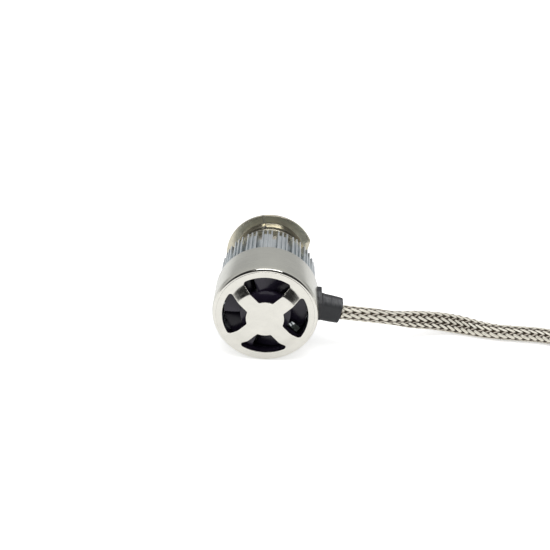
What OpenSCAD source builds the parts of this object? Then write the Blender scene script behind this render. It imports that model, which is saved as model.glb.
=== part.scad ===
// Fan-cooled LED lamp with a locking collar and a braided lead.
// The lamp axis is Y: the fan faces -Y and the LED head points to +Y. +Z is up.
// The origin is on the axis, in the collar's seat plane.

/* [Housing sleeve] */
// Outer diameter of the housing sleeve
body_d = 36; // [35:0.5:42]
// Length of the housing sleeve along the lamp axis
sleeve_len = 16; // [15.6:0.1:20]
// Wall of the sleeve round the fan
front_wall = 1.1; // [0.9:0.1:1.4]
// Wall of the sleeve behind the fan, where the cable port is
rear_wall = 2; // [1.6:0.1:2.6]
// Rounding of the sleeve's front lip
lip_r = 1; // [0.3:0.1:1]

/* [Fan guard] */
// Sheet thickness of the guard
guard_sheet = 0.8; // [0.5:0.1:1]
// How far the guard's rim stands in front of the sleeve's lip
guard_proud = 0.1; // [0:0.05:0.4]
// Length of the guard's rim that slips into the sleeve
guard_skirt = 1.8; // [1.4:0.1:3]
// Rounding of the guard's rim
guard_edge_r = 0.25; // [0.1:0.05:0.6]
// How far the middle of the guard stands out from its rim
guard_raise = 2.2; // [1:0.1:3]
// Diameter of the flat raised middle
raise_flat_d = 21; // [18:0.5:23]
// Diameter at the foot of the raised middle
raise_foot_d = 27.6; // [26:0.2:30]
// Diameter over the outer edges of the windows
window_d = 28.8; // [26:0.2:30]
// Diameter of the disc inside the windows
disc_d = 12.8; // [9:0.2:16]
// Width of the guard's spokes
spoke_w = 5.3; // [3:0.1:7]
// Corner radius of the windows
window_corner_r = 1; // [0.5:0.1:2]

/* [Fan] */
// Depth of the fan frame
fan_t = 5.2; // [5:0.1:7]
// Wall of the fan frame round the bore that the blades turn in
fan_wall = 2.15; // [1.6:0.05:3]
// Diameter of the impeller hub
hub_d = 17.2; // [16:0.2:20]
// Gap between the guard's face and the hub's front
hub_gap = 1.4; // [1.2:0.1:1.8]
// Number of impeller blades
blade_count = 5; // [4:1:9]
// Thickness of an impeller blade
blade_t = 0.8; // [0.5:0.1:1.2]
// Angle of the blades to the plane of the fan
blade_pitch = 20; // [18:1:50]
// Diameter of the fan shaft
shaft_d = 1.5; // [1:0.1:2]
// Width of the four struts that carry the motor
strut_w = 1.8; // [1:0.1:3]

/* [Heat sink] */
// Length of the fins behind the sleeve
sink_len = 15.25; // [10:0.25:25]
// Diameter over the fin tips
fin_d = 34; // [32:0.2:35]
// Diameter over the webs between the fins of a group
web_d = 31; // [28:0.2:31.6]
// Diameter at the floor of the air slots
slot_floor_d = 26; // [22:0.2:28]
// Number of fin groups
fin_groups = 19; // [12:1:24]
// Fins in a group
group_fins = 3; // [2:1:4]
// Thickness of a fin
fin_t = 0.55; // [0.4:0.05:0.8]
// Angle between neighbouring fins of a group
fin_step = 5.4; // [4:0.1:6]
// Diameter of the brass core inside the heat sink
core_d = 16; // [14:0.5:18]

/* [Neck and collar] */
// Diameter of the neck behind the heat sink
neck_d = 22; // [18:0.5:23]
// Length of bare neck between the heat sink and the collar
neck_gap = 9.65; // [4:0.05:15]
// Diameter of the collar's flange
collar_d = 33; // [31:0.2:35]
// Thickness of the collar's flange
collar_t = 1.2; // [1:0.1:3]
// Wall of the collar's hub round the neck
collar_wall = 2; // [1.6:0.1:2.4]
// Length of the collar's hub in front of the flange
collar_hub_len = 4; // [3:0.1:8]
// Wall of the locating spigot round the neck
spigot_wall = 1.5; // [1.3:0.1:2]
// Length of the locating spigot
spigot_len = 3; // [2:0.1:6]
// Width of the radial slot in the flange's front
slot_w = 1; // [0.8:0.1:2]
// Depth of the radial slot
slot_depth = 0.6; // [0.3:0.1:0.8]
// Angle of the slot and the set screw round the axis, from +X towards +Z
slot_angle = 102; // [60:1:120]
// Half of the height of the flange's locating notch
notch_half = 7.1; // [4:0.1:8]
// Diameter of the set screw
set_screw_d = 1.6; // [1.4:0.2:2.4]
// Width of the face seal
seal_w = 1.3; // [0.8:0.1:1.6]
// Thickness of the face seal
seal_t = 0.5; // [0.4:0.1:0.7]
// Thickness of the retaining ring
ring_t = 0.8; // [0.5:0.1:1.2]

/* [LED head] */
// Thickness of the LED post's base
base_t = 2; // [1.6:0.1:3]
// Width of the LED post
post_w = 5.4; // [4:0.1:6]
// Thickness of the LED post
post_t = 2.4; // [1.6:0.1:3]
// Length of the LED post in front of its base
post_len = 10.4; // [8:0.1:14]
// Thickness of an LED board
led_board_t = 0.6; // [0.4:0.1:0.8]
// Side of an LED chip
chip_w = 1.7; // [1.2:0.1:2]
// Thickness of an LED chip
chip_t = 0.4; // [0.3:0.05:0.5]
// LED chips on a board
chip_count = 4; // [2:1:4]
// Outer diameter of the glass cover
glass_d = 11.2; // [11:0.1:12]
// Wall of the glass cover
glass_wall = 0.7; // [0.5:0.1:0.9]

/* [Cable gland] */
// Height of the gland's flange plate
plate_h = 9.8; // [8.6:0.1:11]
// Width of the gland's flange plate along the lamp axis
plate_w = 7.8; // [7:0.1:9]
// Thickness of the flange plate at its middle
plate_t = 0.9; // [0.8:0.05:1.6]
// Height of the gland's body at its root
gland_h = 7.4; // [6.4:0.1:8]
// Width of the gland's body at its root
gland_w = 6.7; // [5.6:0.1:7]
// Length of the gland from the sleeve to the cord's exit
gland_len = 8; // [6:0.1:14]
// How much narrower the gland is at the cord's exit
gland_taper = 0.2; // [0:0.1:0.5]
// How far the gland's body stands above the cable inside it
gland_rise = 1.45; // [0:0.05:1.5]
// Angle by which the gland's body droops
gland_tilt = 9.5; // [0:0.5:12]
// Angle by which the cable inside it droops
gland_droop = 3; // [0:0.5:12]
// How far the cable port lies below the axis
port_drop = 2.2; // [0:0.1:2.5]
// Diameter of the cable port in the sleeve
port_d = 4.7; // [4.6:0.1:5]
// Diameter of the jacketed cable inside the braid
jacket_d = 3.6; // [3:0.1:4]

/* [Cord] */
// Width of the flat braided cord
cord_w = 7; // [6:0.1:7]
// Thickness of the flat braided cord
cord_h = 5; // [4:0.1:5]
// Width of the cord where it leaves the gland
cord_exit_w = 5.2; // [4.6:0.1:5.2]

/* [Connector] */
// Length of the connector's shell
plug_len = 18; // [14:0.5:20]
// Width of the connector's shell
plug_w = 12; // [10:0.2:13]
// Height of the connector's shell
plug_h = 10; // [9:0.2:12]
// Length of the connector's nose
nose_len = 7; // [5:0.5:8]
// Step from the shell down to the nose
nose_step = 1.2; // [0.8:0.1:1.4]
// Length of the heat-shrink boot
boot_len = 10; // [8:0.5:12]
// Diameter of the heat-shrink boot
boot_d = 8.2; // [7.6:0.1:9]
// Distance between the two terminals
terminal_pitch = 4; // [3.4:0.1:4.4]
// Outer diameter of a terminal
terminal_d = 1.8; // [1.4:0.1:2]

/* [Fits] */
// Radial clearance of the fan shaft in its bearing
bearing_clearance = 0.03; // [0.02:0.01:0.08]
// Radial clearance of the collar on the neck
collar_clearance = 0.05; // [0.02:0.01:0.09]
// Clearance between fixed parts that slip together
fit = 0.05; // [0.02:0.01:0.1]
// Gap between moving parts and fixed parts
air_gap = 0.3; // [0.2:0.05:0.4]

/* [Hidden] */
$fn = 72;
// Small overlap that makes cuts run clear through a face.
over = 0.5;

// Stations along the axis, from the seat plane at 0 towards the fan.
flange_front = -collar_t;
collar_hub_front = flange_front - collar_hub_len;
sink_back = collar_hub_front - neck_gap;
sleeve_back = sink_back - sink_len;
sleeve_front = sleeve_back - sleeve_len;
guard_face = sleeve_front - guard_proud;
guard_crown = guard_face - guard_raise;
fan_front = guard_face + guard_skirt;
fan_back = fan_front + fan_t;
body_r = body_d / 2;
front_bore_r = body_r - front_wall;
fan_bore_r = front_bore_r - fit - fan_wall;
rear_bore_r = body_r - rear_wall;

// Cable port, just behind the fan's ledge in the sleeve.
port_r = port_d / 2;
lock_r = port_r + 0.95;
port_gap = 0.1;
port_y = fan_back + port_gap + lock_r;
port_z = -port_drop;

// Heat sink and core
sink_front = port_y + lock_r + port_gap;
core_proud = 0.2;
core_front = sink_front - core_proud;
core_r = core_d / 2;
neck_r = neck_d / 2;
wire_bore_r = 1.6;

// Fan motor, from the front to the back
hub_front = guard_face + hub_gap;
hub_r = hub_d / 2;
hub_face_t = 0.9;
hub_wall = 0.75;
motor_base_t = 1;
motor_base_front = fan_back - motor_base_t;
hub_back = motor_base_front - air_gap;
blade_front = hub_front + 0.6;
blade_back = hub_back - 0.2;
blade_r = fan_bore_r - 0.7;
yoke_r = hub_r - hub_wall - fit;
yoke_t = 0.5;
yoke_front = hub_front + hub_face_t + fit;
magnet_r = yoke_r - yoke_t - fit;
magnet_t = 0.75;
magnet_front = yoke_front + yoke_t + fit;
motor_board_t = 0.5;
motor_board_front = motor_base_front - motor_board_t;
magnet_back = motor_board_front - air_gap;
stator_r = magnet_r - magnet_t - air_gap;
shaft_r = shaft_d / 2;
bearing_bore_r = shaft_r + bearing_clearance;
bearing_wall = 0.5;
bearing_r = bearing_bore_r + bearing_wall;
tube_wall = 0.8;
tube_r = bearing_r + fit + tube_wall;
tube_front = magnet_front + 0.2;
pocket_depth = 0.7;
pocket_r = tube_r - 0.5;
pocket_floor = fan_back - pocket_depth;
clip_t = 0.25;
clip_front = pocket_floor + 0.1;
cap_t = 0.25;
shaft_front = hub_front + hub_face_t / 2;
shaft_back = fan_back - cap_t - 0.07;
stator_ring_wall = 0.9;
stator_ring_r = tube_r + fit + stator_ring_wall;
stator_t = 1.2;
coil_over = 0.35;
stator_front = motor_board_front - 0.15 - coil_over - stator_t;
arm_w = 1.6;
shoe_t = 0.6;

// Driver board
board_t = 1;
board_front = core_front - board_t;
board_r = core_r + 0.6;
board_screw_r = 0.8;
board_screw_at = core_r - 2;

// Collar
collar_bore_r = neck_r + collar_clearance;
collar_hub_r = neck_r + collar_wall;
collar_r = collar_d / 2;
spigot_r = neck_r + spigot_wall;
set_screw_r = set_screw_d / 2;
set_screw_y = (collar_hub_front + flange_front) / 2;
hub_groove = 0.25;
seal_mid_r = (collar_hub_r + collar_r) / 2;
ring_front = spigot_len + fit;
ring_groove_depth = 0.6;
ring_r = spigot_r - 0.3;
neck_back = ring_front + ring_t + 0.65;

// LED head
base_r = neck_r - 1.5;
base_back = neck_back + base_t;
post_end = base_back + post_len;
led_board_w = post_w - 0.4;
led_board_len = post_len - 0.8;
glass_r = glass_d / 2;
glass_end = post_end + 0.6;
dome_h = 1;
post_screw_at = (glass_r + base_r) / 2;
post_screw_r = 0.7;
post_screw_head_r = 1.5;

// Cable inside the lamp
jacket_in = 6;
lead_len = 5;
lead_r = 0.6;
fan_lead_x = -5;
fan_lead_r = 0.35;
led_lead_r = 0.5;
lead_gap = 0.2;

// Cable axis, drooping from the sleeve's surface, as far as the end face of the gland's body.
gland_dir = [cos(gland_droop), 0, -sin(gland_droop)];
gland_face_dir = [cos(gland_tilt), 0, -sin(gland_tilt)];
gland_root = [body_r, port_y, port_z];
cable_out = gland_len / cos(gland_tilt - gland_droop);
gland_exit = gland_root + cable_out * gland_dir;

// Cord, lying on the plane that the sleeve rests on.
floor_z = -body_r;
cord_z = floor_z + cord_h / 2;
plug_z = floor_z + plug_h / 2;
// Route between the gland and the coil, on a lamp that lies at its full size.
cord_route = [
    [38, -34.6, -3.9],
    [44, -31.7, -6],
    [50, -28.1, -8.2],
    [56, -24.6, -10.2],
    [62, -21.5, -12.1],
    [68, -19.5, -13.7],
    [74, -19, -14.8],
    [80, -19.8, -15.4],
    [86, -20.6, -15.5],
    [94, -20.8, -15.5],
    [102, -21.1, -15.5],
    [108, -22.7, -15.5],
    [114, -26, -15.5]
];
// Where the cord starts to turn its broad side up, and where it lies flat again.
twist_start = 36;
twist_mid = 56;
twist_end = 88;
// Loop that the rest of the cord is put away in, and the tuck that ends inside it.
coil_centre = [164, -8.7];
coil_r = 46;
coil_pitch = 7.7;
coil_start = 225;
coil_sweep = 450;
coil_step = 15;
tuck_r = 24;
tuck_turn = 120;
straight_end = cord_w;

function unit(v) = v / norm(v);
function smooth(t) = let (c = max(0, min(1, t))) c * c * (3 - 2 * c);
function turn(a) = [cos(a), sin(a)];

// Coil: a spiral inwards, then a tighter tuck, then a straight end.
function coil_radius(a) = coil_r - coil_pitch * a / 360;
tuck_start = coil_start + coil_sweep;
tuck_centre = coil_centre + (coil_radius(coil_sweep) - tuck_r) * turn(tuck_start);
plug_heading = tuck_start + tuck_turn + 90;
coil_in = coil_centre + coil_r * turn(coil_start);
coil_in_dir = turn(coil_start + 90);
tuck_out = tuck_centre + tuck_r * turn(tuck_start + tuck_turn);
plug_dir = turn(plug_heading);
coil_entry = coil_in - straight_end * coil_in_dir;
boot_xy = tuck_out + straight_end * plug_dir;
coil_points = concat(
    [[coil_entry[0], coil_entry[1], cord_z]],
    [for (a = [0:coil_step:coil_sweep])
        let (p = coil_centre + coil_radius(a) * turn(coil_start + a)) [p[0], p[1], cord_z]],
    [for (b = [coil_step:coil_step:tuck_turn])
        let (p = tuck_centre + tuck_r * turn(tuck_start + b))
            [p[0], p[1], cord_z + (plug_z - cord_z) * smooth(b / (tuck_turn - coil_step))]],
    [[boot_xy[0], boot_xy[1], plug_z]]
);
run_end = coil_entry - straight_end * coil_in_dir;
run_points = concat(
    [gland_exit, gland_exit + straight_end * gland_dir],
    cord_route,
    [[run_end[0], run_end[1], cord_z], [coil_entry[0], coil_entry[1], cord_z]]
);

function path_length(p) = len(p) < 2 ? 0 : [for (i = [1:len(p) - 1]) norm(p[i] - p[i - 1])] *
    [for (i = [1:len(p) - 1]) 1];
half_turn = 180 / coil_step;
coil_gap = min([for (i = [0:len(coil_points) - 1], j = [0:len(coil_points) - 1])
    if (j > i + half_turn) norm(coil_points[j] - coil_points[i])]) - cord_w;
echo(least_gap_of_coil_mm = coil_gap);
echo(cord_length_mm = path_length(run_points) + path_length(coil_points));

// Rings of a swept tube. Each ring is an ellipse of width w and height h, turned by twist.
function tangent(p, i) = unit(p[min(i + 1, len(p) - 1)] - p[max(i - 1, 0)]);
function ring(centre, dir, w, h, twist, sides, phase) =
    let (side = unit(cross(dir, [0, 0, 1])), up = cross(side, dir))
    [for (k = [0:sides - 1])
        let (
            a = phase + 360 * k / sides,
            x = w / 2 * cos(a),
            y = h / 2 * sin(a)
        )
        centre + (x * cos(twist) - y * sin(twist)) * side + (x * sin(twist) + y * cos(twist)) * up];
module swept(rings) {
    n = len(rings);
    sides = len(rings[0]);
    function v(i, k) = i * sides + k % sides;
    polyhedron(
        points = [for (r = rings) each r],
        faces = concat(
            [for (k = [1:sides - 2]) [v(0, 0), v(0, k), v(0, k + 1)]],
            [for (k = [1:sides - 2]) [v(n - 1, 0), v(n - 1, k + 1), v(n - 1, k)]],
            [for (i = [0:n - 2], k = [0:sides - 1]) [v(i, k), v(i + 1, k), v(i + 1, k + 1)]],
            [for (i = [0:n - 2], k = [0:sides - 1]) [v(i, k), v(i + 1, k + 1), v(i, k + 1)]]
        )
    );
}

// Lamp axis frame: local z is +Y, and rotating by at() turns from +X towards +Z.
module lamp() { rotate([-90, 0, 0]) children(); }
module at(angle) { rotate([0, 0, -angle]) children(); }
module disc(r, from, to) { translate([0, 0, from]) cylinder(r = r, h = to - from); }
module tube(r_out, r_in, from, to) {
    difference() {
        disc(r_out, from, to);
        disc(r_in, from - over, to + over);
    }
}
// Points of a quarter round in a profile, from angle a to angle b.
function round_edge(r, z, radius, a, b, steps = 5) =
    [for (i = [0:steps]) let (t = a + (b - a) * i / steps) [r + radius * cos(t), z + radius * sin(t)]];

// Outline of one guard window, centred on local +X, between two spokes.
function window_points() =
    let (
        r1 = window_d / 2,
        r2 = disc_d / 2,
        c = window_corner_r,
        edge = spoke_w / 2,
        outer = 45 - asin((edge + c) / (r1 - c)),
        inner = 45 - asin(edge / r2),
        centre = (r1 - c) * turn(outer),
        half = concat(
            [for (i = [0:8]) r1 * turn(outer * i / 8)],
            [for (i = [1:6]) centre + c * turn(outer + (135 - outer) * i / 6)],
            [for (i = [0:3]) r2 * turn(inner * (1 - i / 4))]
        ),
        n = len(half)
    )
    concat(half, [[r2, 0]], [for (i = [1:n - 1]) [half[n - i][0], -half[n - i][1]]]);

module fan_guard() {
    rim_r = front_bore_r - fit;
    flat_r = raise_flat_d / 2;
    foot_r = raise_foot_d / 2;
    t = guard_sheet;
    bend = t * tan(atan2(guard_raise, foot_r - flat_r) / 2);
    color("gainsboro") lamp() difference() {
        rotate_extrude() polygon(concat(
            [[0, guard_crown], [flat_r, guard_crown], [foot_r, guard_face]],
            round_edge(rim_r - guard_edge_r, guard_face + guard_edge_r, guard_edge_r, -90, 0),
            [[rim_r, fan_front], [rim_r - t, fan_front], [rim_r - t, guard_face + t],
                [foot_r - bend, guard_face + t], [flat_r - bend, guard_crown + t],
                [0, guard_crown + t]]
        ));
        for (k = [0:3]) at(90 * k) translate([0, 0, guard_crown - over])
            linear_extrude(guard_raise + t + 2 * over) polygon(window_points());
    }
}

module housing_sleeve() {
    edge = 0.3;
    color("silver") difference() {
        lamp() rotate_extrude() polygon(concat(
            [[front_bore_r, sleeve_front]],
            round_edge(body_r - lip_r, sleeve_front + lip_r, lip_r, -90, 0, 8),
            [[body_r, sleeve_back - edge], [body_r - edge, sleeve_back], [rear_bore_r, sleeve_back],
                [rear_bore_r, fan_back], [front_bore_r, fan_back]]
        ));
        translate([0, port_y, port_z]) rotate([0, 90, 0]) cylinder(r = port_r, h = body_r + over);
    }
}

module fan_frame() {
    frame_r = front_bore_r - fit;
    color([0.08, 0.08, 0.09]) lamp() {
        tube(frame_r, fan_bore_r, fan_front, fan_back);
        difference() {
            union() {
                disc(hub_r, motor_base_front, fan_back);
                disc(tube_r, tube_front, motor_base_front + over);
                for (k = [0:3]) at(45 + 90 * k)
                    translate([hub_r - over, -strut_w / 2, motor_base_front])
                        cube([fan_bore_r - hub_r + 2 * over, strut_w, motor_base_t]);
            }
            disc(bearing_r + fit, tube_front - over, fan_back + over);
            disc(pocket_r, pocket_floor, fan_back + over);
            translate([fan_lead_x, 0, motor_base_front - over])
                cylinder(r = 1.2, h = motor_base_t + 2 * over);
        }
    }
}

module bearing_sleeve() {
    color("peru") lamp() tube(bearing_r, bearing_bore_r, tube_front + fit, pocket_floor);
}

module bearing_cap() {
    color("silver") lamp() disc(pocket_r - fit, fan_back - cap_t, fan_back);
}

module stator_core() {
    shoe_half = 28;
    color("slategray") lamp() {
        tube(stator_ring_r, tube_r + fit, stator_front, stator_front + stator_t);
        for (k = [0:3]) at(90 * k) {
            translate([stator_ring_r - 0.3, -arm_w / 2, stator_front])
                cube([stator_r - shoe_t - stator_ring_r + 0.5, arm_w, stator_t]);
            intersection() {
                tube(stator_r, stator_r - shoe_t, stator_front, stator_front + stator_t);
                translate([0, 0, stator_front - over]) linear_extrude(stator_t + 2 * over)
                    polygon([[0, 0], 2 * stator_r * turn(-shoe_half), 2 * stator_r * turn(shoe_half)]);
            }
        }
    }
}

module stator_coils() {
    wind_in = stator_ring_r + 0.1;
    wind_out = stator_r - shoe_t - 0.25;
    wind_w = min(3.2, 2 * wind_in - 0.3);
    color("chocolate") lamp() for (k = [0:3]) at(90 * k) difference() {
        translate([wind_in, -wind_w / 2, stator_front - coil_over])
            cube([wind_out - wind_in, wind_w, stator_t + 2 * coil_over]);
        translate([wind_in - over, -arm_w / 2 - fit, stator_front - fit])
            cube([wind_out - wind_in + 2 * over, arm_w + 2 * fit, stator_t + 2 * fit]);
    }
}

module motor_board() {
    color([0.05, 0.06, 0.06]) lamp()
        tube(magnet_r - 0.2, tube_r + fit, motor_board_front, motor_base_front);
}

module impeller() {
    blade_mid = (blade_front + blade_back) / 2;
    blade_depth = blade_back - blade_front;
    blade_chord = blade_depth / sin(blade_pitch) + 2 * blade_t;
    edge = 0.4;
    color([0.06, 0.06, 0.07]) lamp() {
        difference() {
            rotate_extrude() polygon([[0, hub_front], [hub_r - edge, hub_front],
                [hub_r, hub_front + edge], [hub_r, hub_back], [hub_r - hub_wall, hub_back],
                [hub_r - hub_wall, hub_front + hub_face_t], [0, hub_front + hub_face_t]]);
            disc(shaft_r + fit, shaft_front, hub_back);
        }
        for (k = [0:blade_count - 1]) at(80 + 360 / blade_count * k) intersection() {
            tube(blade_r, hub_r - hub_wall / 2, blade_front, blade_back);
            translate([(hub_r + blade_r) / 2, 0, blade_mid]) rotate([blade_pitch, 0, 0])
                cube([blade_r, blade_chord, blade_t], center = true);
        }
    }
}

module rotor_yoke() {
    color("gray") lamp() difference() {
        disc(yoke_r, yoke_front, magnet_back);
        disc(yoke_r - yoke_t, yoke_front + yoke_t, magnet_back + over);
        disc(shaft_r + fit, yoke_front - over, magnet_back);
    }
}

module rotor_magnet() {
    color("dimgray") lamp() tube(magnet_r, magnet_r - magnet_t, magnet_front, magnet_back);
}

module rotor_shaft() {
    color("lightgray") lamp() difference() {
        disc(shaft_r, shaft_front + fit, shaft_back);
        tube(shaft_r + over, shaft_r - 0.25, clip_front - 0.02, clip_front + clip_t + 0.02);
    }
}

module shaft_clip() {
    color("gray") lamp() difference() {
        tube(shaft_r + 0.4, shaft_r - 0.2, clip_front, clip_front + clip_t);
        translate([0, -0.3, clip_front - over]) cube([shaft_r + 1, 0.6, clip_t + 2 * over]);
    }
}

module driver_board() {
    color([0.05, 0.06, 0.06]) lamp() difference() {
        disc(board_r, board_front, core_front);
        for (s = [-1, 1]) translate([0, s * board_screw_at, board_front - over])
            cylinder(r = board_screw_r + fit, h = board_t + 2 * over);
    }
}

module driver_components() {
    room = board_front - fan_back - 0.6;
    choke_h = min(2.4, room);
    color([0.15, 0.15, 0.16]) lamp() {
        translate([-2.6, -2.6, board_front - choke_h]) cylinder(r = 2.1, h = choke_h);
        translate([0.6, -4.4, board_front - 1.1]) cube([3.2, 2.6, 1.1]);
        for (s = [-1, 1]) translate([1 + 2.2 * s, 2.6, board_front - 0.8]) cube([1.6, 1, 0.8]);
        translate([-5.4, 1.9, board_front - 1.4]) cube([2.2, 1.4, 1.4]);
    }
}

module board_screws() {
    head_r = board_screw_r + 0.7;
    color("gray") lamp() for (s = [-1, 1]) translate([0, s * board_screw_at, 0]) difference() {
        union() {
            disc(head_r, board_front - 0.9, board_front);
            disc(board_screw_r, board_front - 0.1, core_front + 4);
        }
        translate([-head_r, -0.2, board_front - 1.4]) cube([2 * head_r, 0.4, 0.9]);
    }
}

module fin_section() {
    fin_r = fin_d / 2;
    web_r = web_d / 2;
    floor_r = slot_floor_d / 2;
    root_r = floor_r - 1;
    half = fin_step * (group_fins - 1) / 2;
    circle(r = floor_r);
    for (g = [0:fin_groups - 1]) rotate(-94 + 360 / fin_groups * g) {
        polygon(concat([root_r * turn(-half)], [for (i = [-2:2]) web_r * turn(half * i / 2)],
            [root_r * turn(half)]));
        for (f = [0:group_fins - 1]) rotate(fin_step * f - half)
            translate([root_r, -fin_t / 2]) square([fin_r - root_r, fin_t]);
    }
}

module heat_sink() {
    seat_r = rear_bore_r - fit;
    color("lightsteelblue") lamp() difference() {
        translate([0, 0, sink_front]) linear_extrude(sink_back - sink_front) fin_section();
        tube(body_r, seat_r, sink_front - over, sleeve_back);
        disc(core_r + fit, sink_front - over, sink_back + over);
    }
}

module thermal_core() {
    groove_r = neck_r - ring_groove_depth;
    color("goldenrod") lamp() difference() {
        rotate_extrude() polygon([[wire_bore_r, core_front], [core_r, core_front],
            [core_r, sink_back], [neck_r, sink_back], [neck_r, ring_front],
            [groove_r, ring_front], [groove_r, ring_front + ring_t + fit],
            [neck_r, ring_front + ring_t + fit], [neck_r, neck_back], [wire_bore_r, neck_back]]);
        for (s = [-1, 1]) translate([0, s * board_screw_at, core_front - over])
            cylinder(r = board_screw_r + fit, h = 4.5 + over);
        for (s = [-1, 1]) translate([0, s * post_screw_at, neck_back - 4])
            cylinder(r = post_screw_r + fit, h = 4 + over);
    }
}

module locking_collar() {
    seal_depth = seal_t + fit;
    notch_floor = collar_r - 2.8;
    color("darkkhaki") lamp() difference() {
        rotate_extrude() polygon([[collar_bore_r, collar_hub_front],
            [collar_hub_r - 0.3, collar_hub_front], [collar_hub_r, collar_hub_front + 0.3],
            [collar_hub_r, flange_front], [collar_r - 0.2, flange_front],
            [collar_r, flange_front + 0.2], [collar_r, -0.2], [collar_r - 0.2, 0],
            [spigot_r, 0], [spigot_r, spigot_len], [collar_bore_r, spigot_len]]);
        for (k = [1:3]) tube(collar_r, collar_hub_r - hub_groove,
            collar_hub_front + 0.4 + 0.7 * (k - 1), collar_hub_front + 0.65 + 0.7 * (k - 1));
        tube(seal_mid_r + seal_w / 2 + fit, seal_mid_r - seal_w / 2 - fit, -seal_depth, over);
        at(slot_angle) translate([collar_hub_r, -slot_w / 2, flange_front - over])
            cube([collar_r, slot_w, slot_depth + over]);
        at(slot_angle) translate([0, 0, set_screw_y]) rotate([0, 90, 0])
            cylinder(r = set_screw_r + fit, h = collar_r);
        translate([0, 0, flange_front - over]) linear_extrude(collar_t + 2 * over)
            polygon([[notch_floor, 1.5], [sqrt(pow(collar_r, 2) - pow(notch_half, 2)), notch_half],
                [collar_r + 1, notch_half], [collar_r + 1, -notch_half],
                [sqrt(pow(collar_r, 2) - pow(notch_half, 2)), -notch_half], [notch_floor, -1.5]]);
    }
}

module set_screw() {
    tip = collar_bore_r + 0.25;
    head = collar_hub_r - 0.1;
    color("gray") lamp() at(slot_angle) translate([0, 0, set_screw_y]) rotate([0, 90, 0])
        difference() {
            disc(set_screw_r, tip, head);
            translate([0, 0, head - 0.9]) cylinder(r = set_screw_r / 2, h = 2, $fn = 6);
        }
}

module face_seal() {
    notch_x = collar_r - 2.8;
    color([0.1, 0.1, 0.1]) lamp() difference() {
        tube(seal_mid_r + seal_w / 2, seal_mid_r - seal_w / 2, -seal_t - fit / 2, -fit / 2);
        translate([notch_x - 0.4, -notch_half - 1, -seal_t - over])
            cube([collar_r, 2 * notch_half + 2, seal_t + 2 * over]);
    }
}

module retaining_ring() {
    gap = 2;
    color("dimgray") lamp() difference() {
        tube(ring_r, neck_r - ring_groove_depth + fit, ring_front + fit / 2, ring_front + ring_t);
        translate([0, -gap / 2, ring_front - over]) cube([neck_r + 3, gap, ring_t + 2 * over]);
    }
}

module led_post() {
    color("sienna") lamp() difference() {
        union() {
            disc(base_r, neck_back, base_back);
            translate([-post_w / 2, -post_t / 2, base_back - 0.1]) cube([post_w, post_t, post_len + 0.1]);
        }
        for (s = [-1, 1]) translate([0, s * post_screw_at, 0]) {
            disc(post_screw_r + fit, neck_back - over, base_back + over);
            disc(post_screw_head_r + fit, base_back - 1, base_back + over);
        }
    }
}

module post_screws() {
    color("silver") lamp() for (s = [-1, 1]) translate([0, s * post_screw_at, 0]) difference() {
        union() {
            disc(post_screw_head_r, base_back - 1, base_back - 0.1);
            disc(post_screw_r, neck_back - 3.6, base_back - 0.9);
        }
        translate([0, 0, base_back - 0.6]) cylinder(r = 0.6, h = 1, $fn = 6);
    }
}

module led_board(side) {
    inner = min(side * post_t / 2, side * (post_t / 2 + led_board_t));
    color("ivory") lamp() translate([-led_board_w / 2, inner, base_back + 0.2])
        cube([led_board_w, led_board_t, led_board_len]);
}

module led_board_upper() { led_board(-1); }
module led_board_lower() { led_board(1); }

module led_chips() {
    step = led_board_len / chip_count;
    face = post_t / 2 + led_board_t;
    color("gold") lamp() for (side = [-1, 1], k = [0:chip_count - 1])
        translate([-chip_w / 2, min(side * face, side * (face + chip_t)),
            base_back + 0.2 + step * (k + 0.5) - chip_w / 2]) cube([chip_w, chip_t, chip_w]);
}

module glass_cover() {
    inner_r = glass_r - glass_wall;
    color([0.8, 0.9, 1, 0.4]) lamp() rotate_extrude() polygon([[inner_r, base_back],
        [glass_r, base_back], [glass_r, glass_end], [glass_r - dome_h, glass_end + dome_h],
        [0, glass_end + dome_h], [0, glass_end + dome_h - glass_wall],
        [glass_r - dome_h - glass_wall / 2, glass_end + dome_h - glass_wall],
        [inner_r, glass_end - 0.1]]);
}

// Cross-section of the gland's body as a slice at distance x along its axis.
module gland_slice(x, w, h) {
    corner = 0.9;
    translate([x, 0, 0]) rotate([0, 90, 0]) for (s = [-1, 1], t = [-1, 1])
        translate([s * (h / 2 - corner), t * (w / 2 - corner), 0])
            cylinder(r = corner, h = 0.4, $fn = 32);
}

// Cable frame: local z runs out of the lamp along the drooping gland, from the sleeve's surface.
module cable_axis() { translate(gland_root) rotate([0, 90 + gland_droop, 0]) children(); }

module cable_gland() {
    bore_r = jacket_d / 2 + fit;
    plate_y = port_y + 0.2;
    plate_z = port_z + gland_rise + 0.9;
    color([0.12, 0.12, 0.13]) difference() {
        union() {
            difference() {
                union() {
                    translate([rear_bore_r, plate_y - plate_w / 2, plate_z - plate_h / 2])
                        cube([body_r + plate_t - rear_bore_r, plate_w, plate_h]);
                    translate(gland_root) rotate([0, gland_tilt, 0]) translate([0, 0, gland_rise]) hull() {
                        gland_slice(0.3, gland_w, gland_h);
                        gland_slice(gland_len - 0.4, gland_w - gland_taper, gland_h - gland_taper);
                    }
                }
                lamp() disc(body_r + fit / 2, guard_face, collar_t);
            }
            translate([rear_bore_r - 0.5, port_y, port_z]) rotate([0, 90, 0])
                cylinder(r = port_r - fit, h = rear_wall + 0.9);
            intersection() {
                translate([rear_bore_r - 1.2, port_y, port_z]) rotate([0, 90, 0])
                    cylinder(r = lock_r, h = 2);
                lamp() disc(rear_bore_r - fit, guard_face, 0);
            }
        }
        cable_axis() disc(bore_r, -rear_wall - 3, cable_out + over);
    }
}

module inner_cable() {
    color([0.2, 0.2, 0.22]) cable_axis() disc(jacket_d / 2, -jacket_in, cable_out - 0.25);
}

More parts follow.
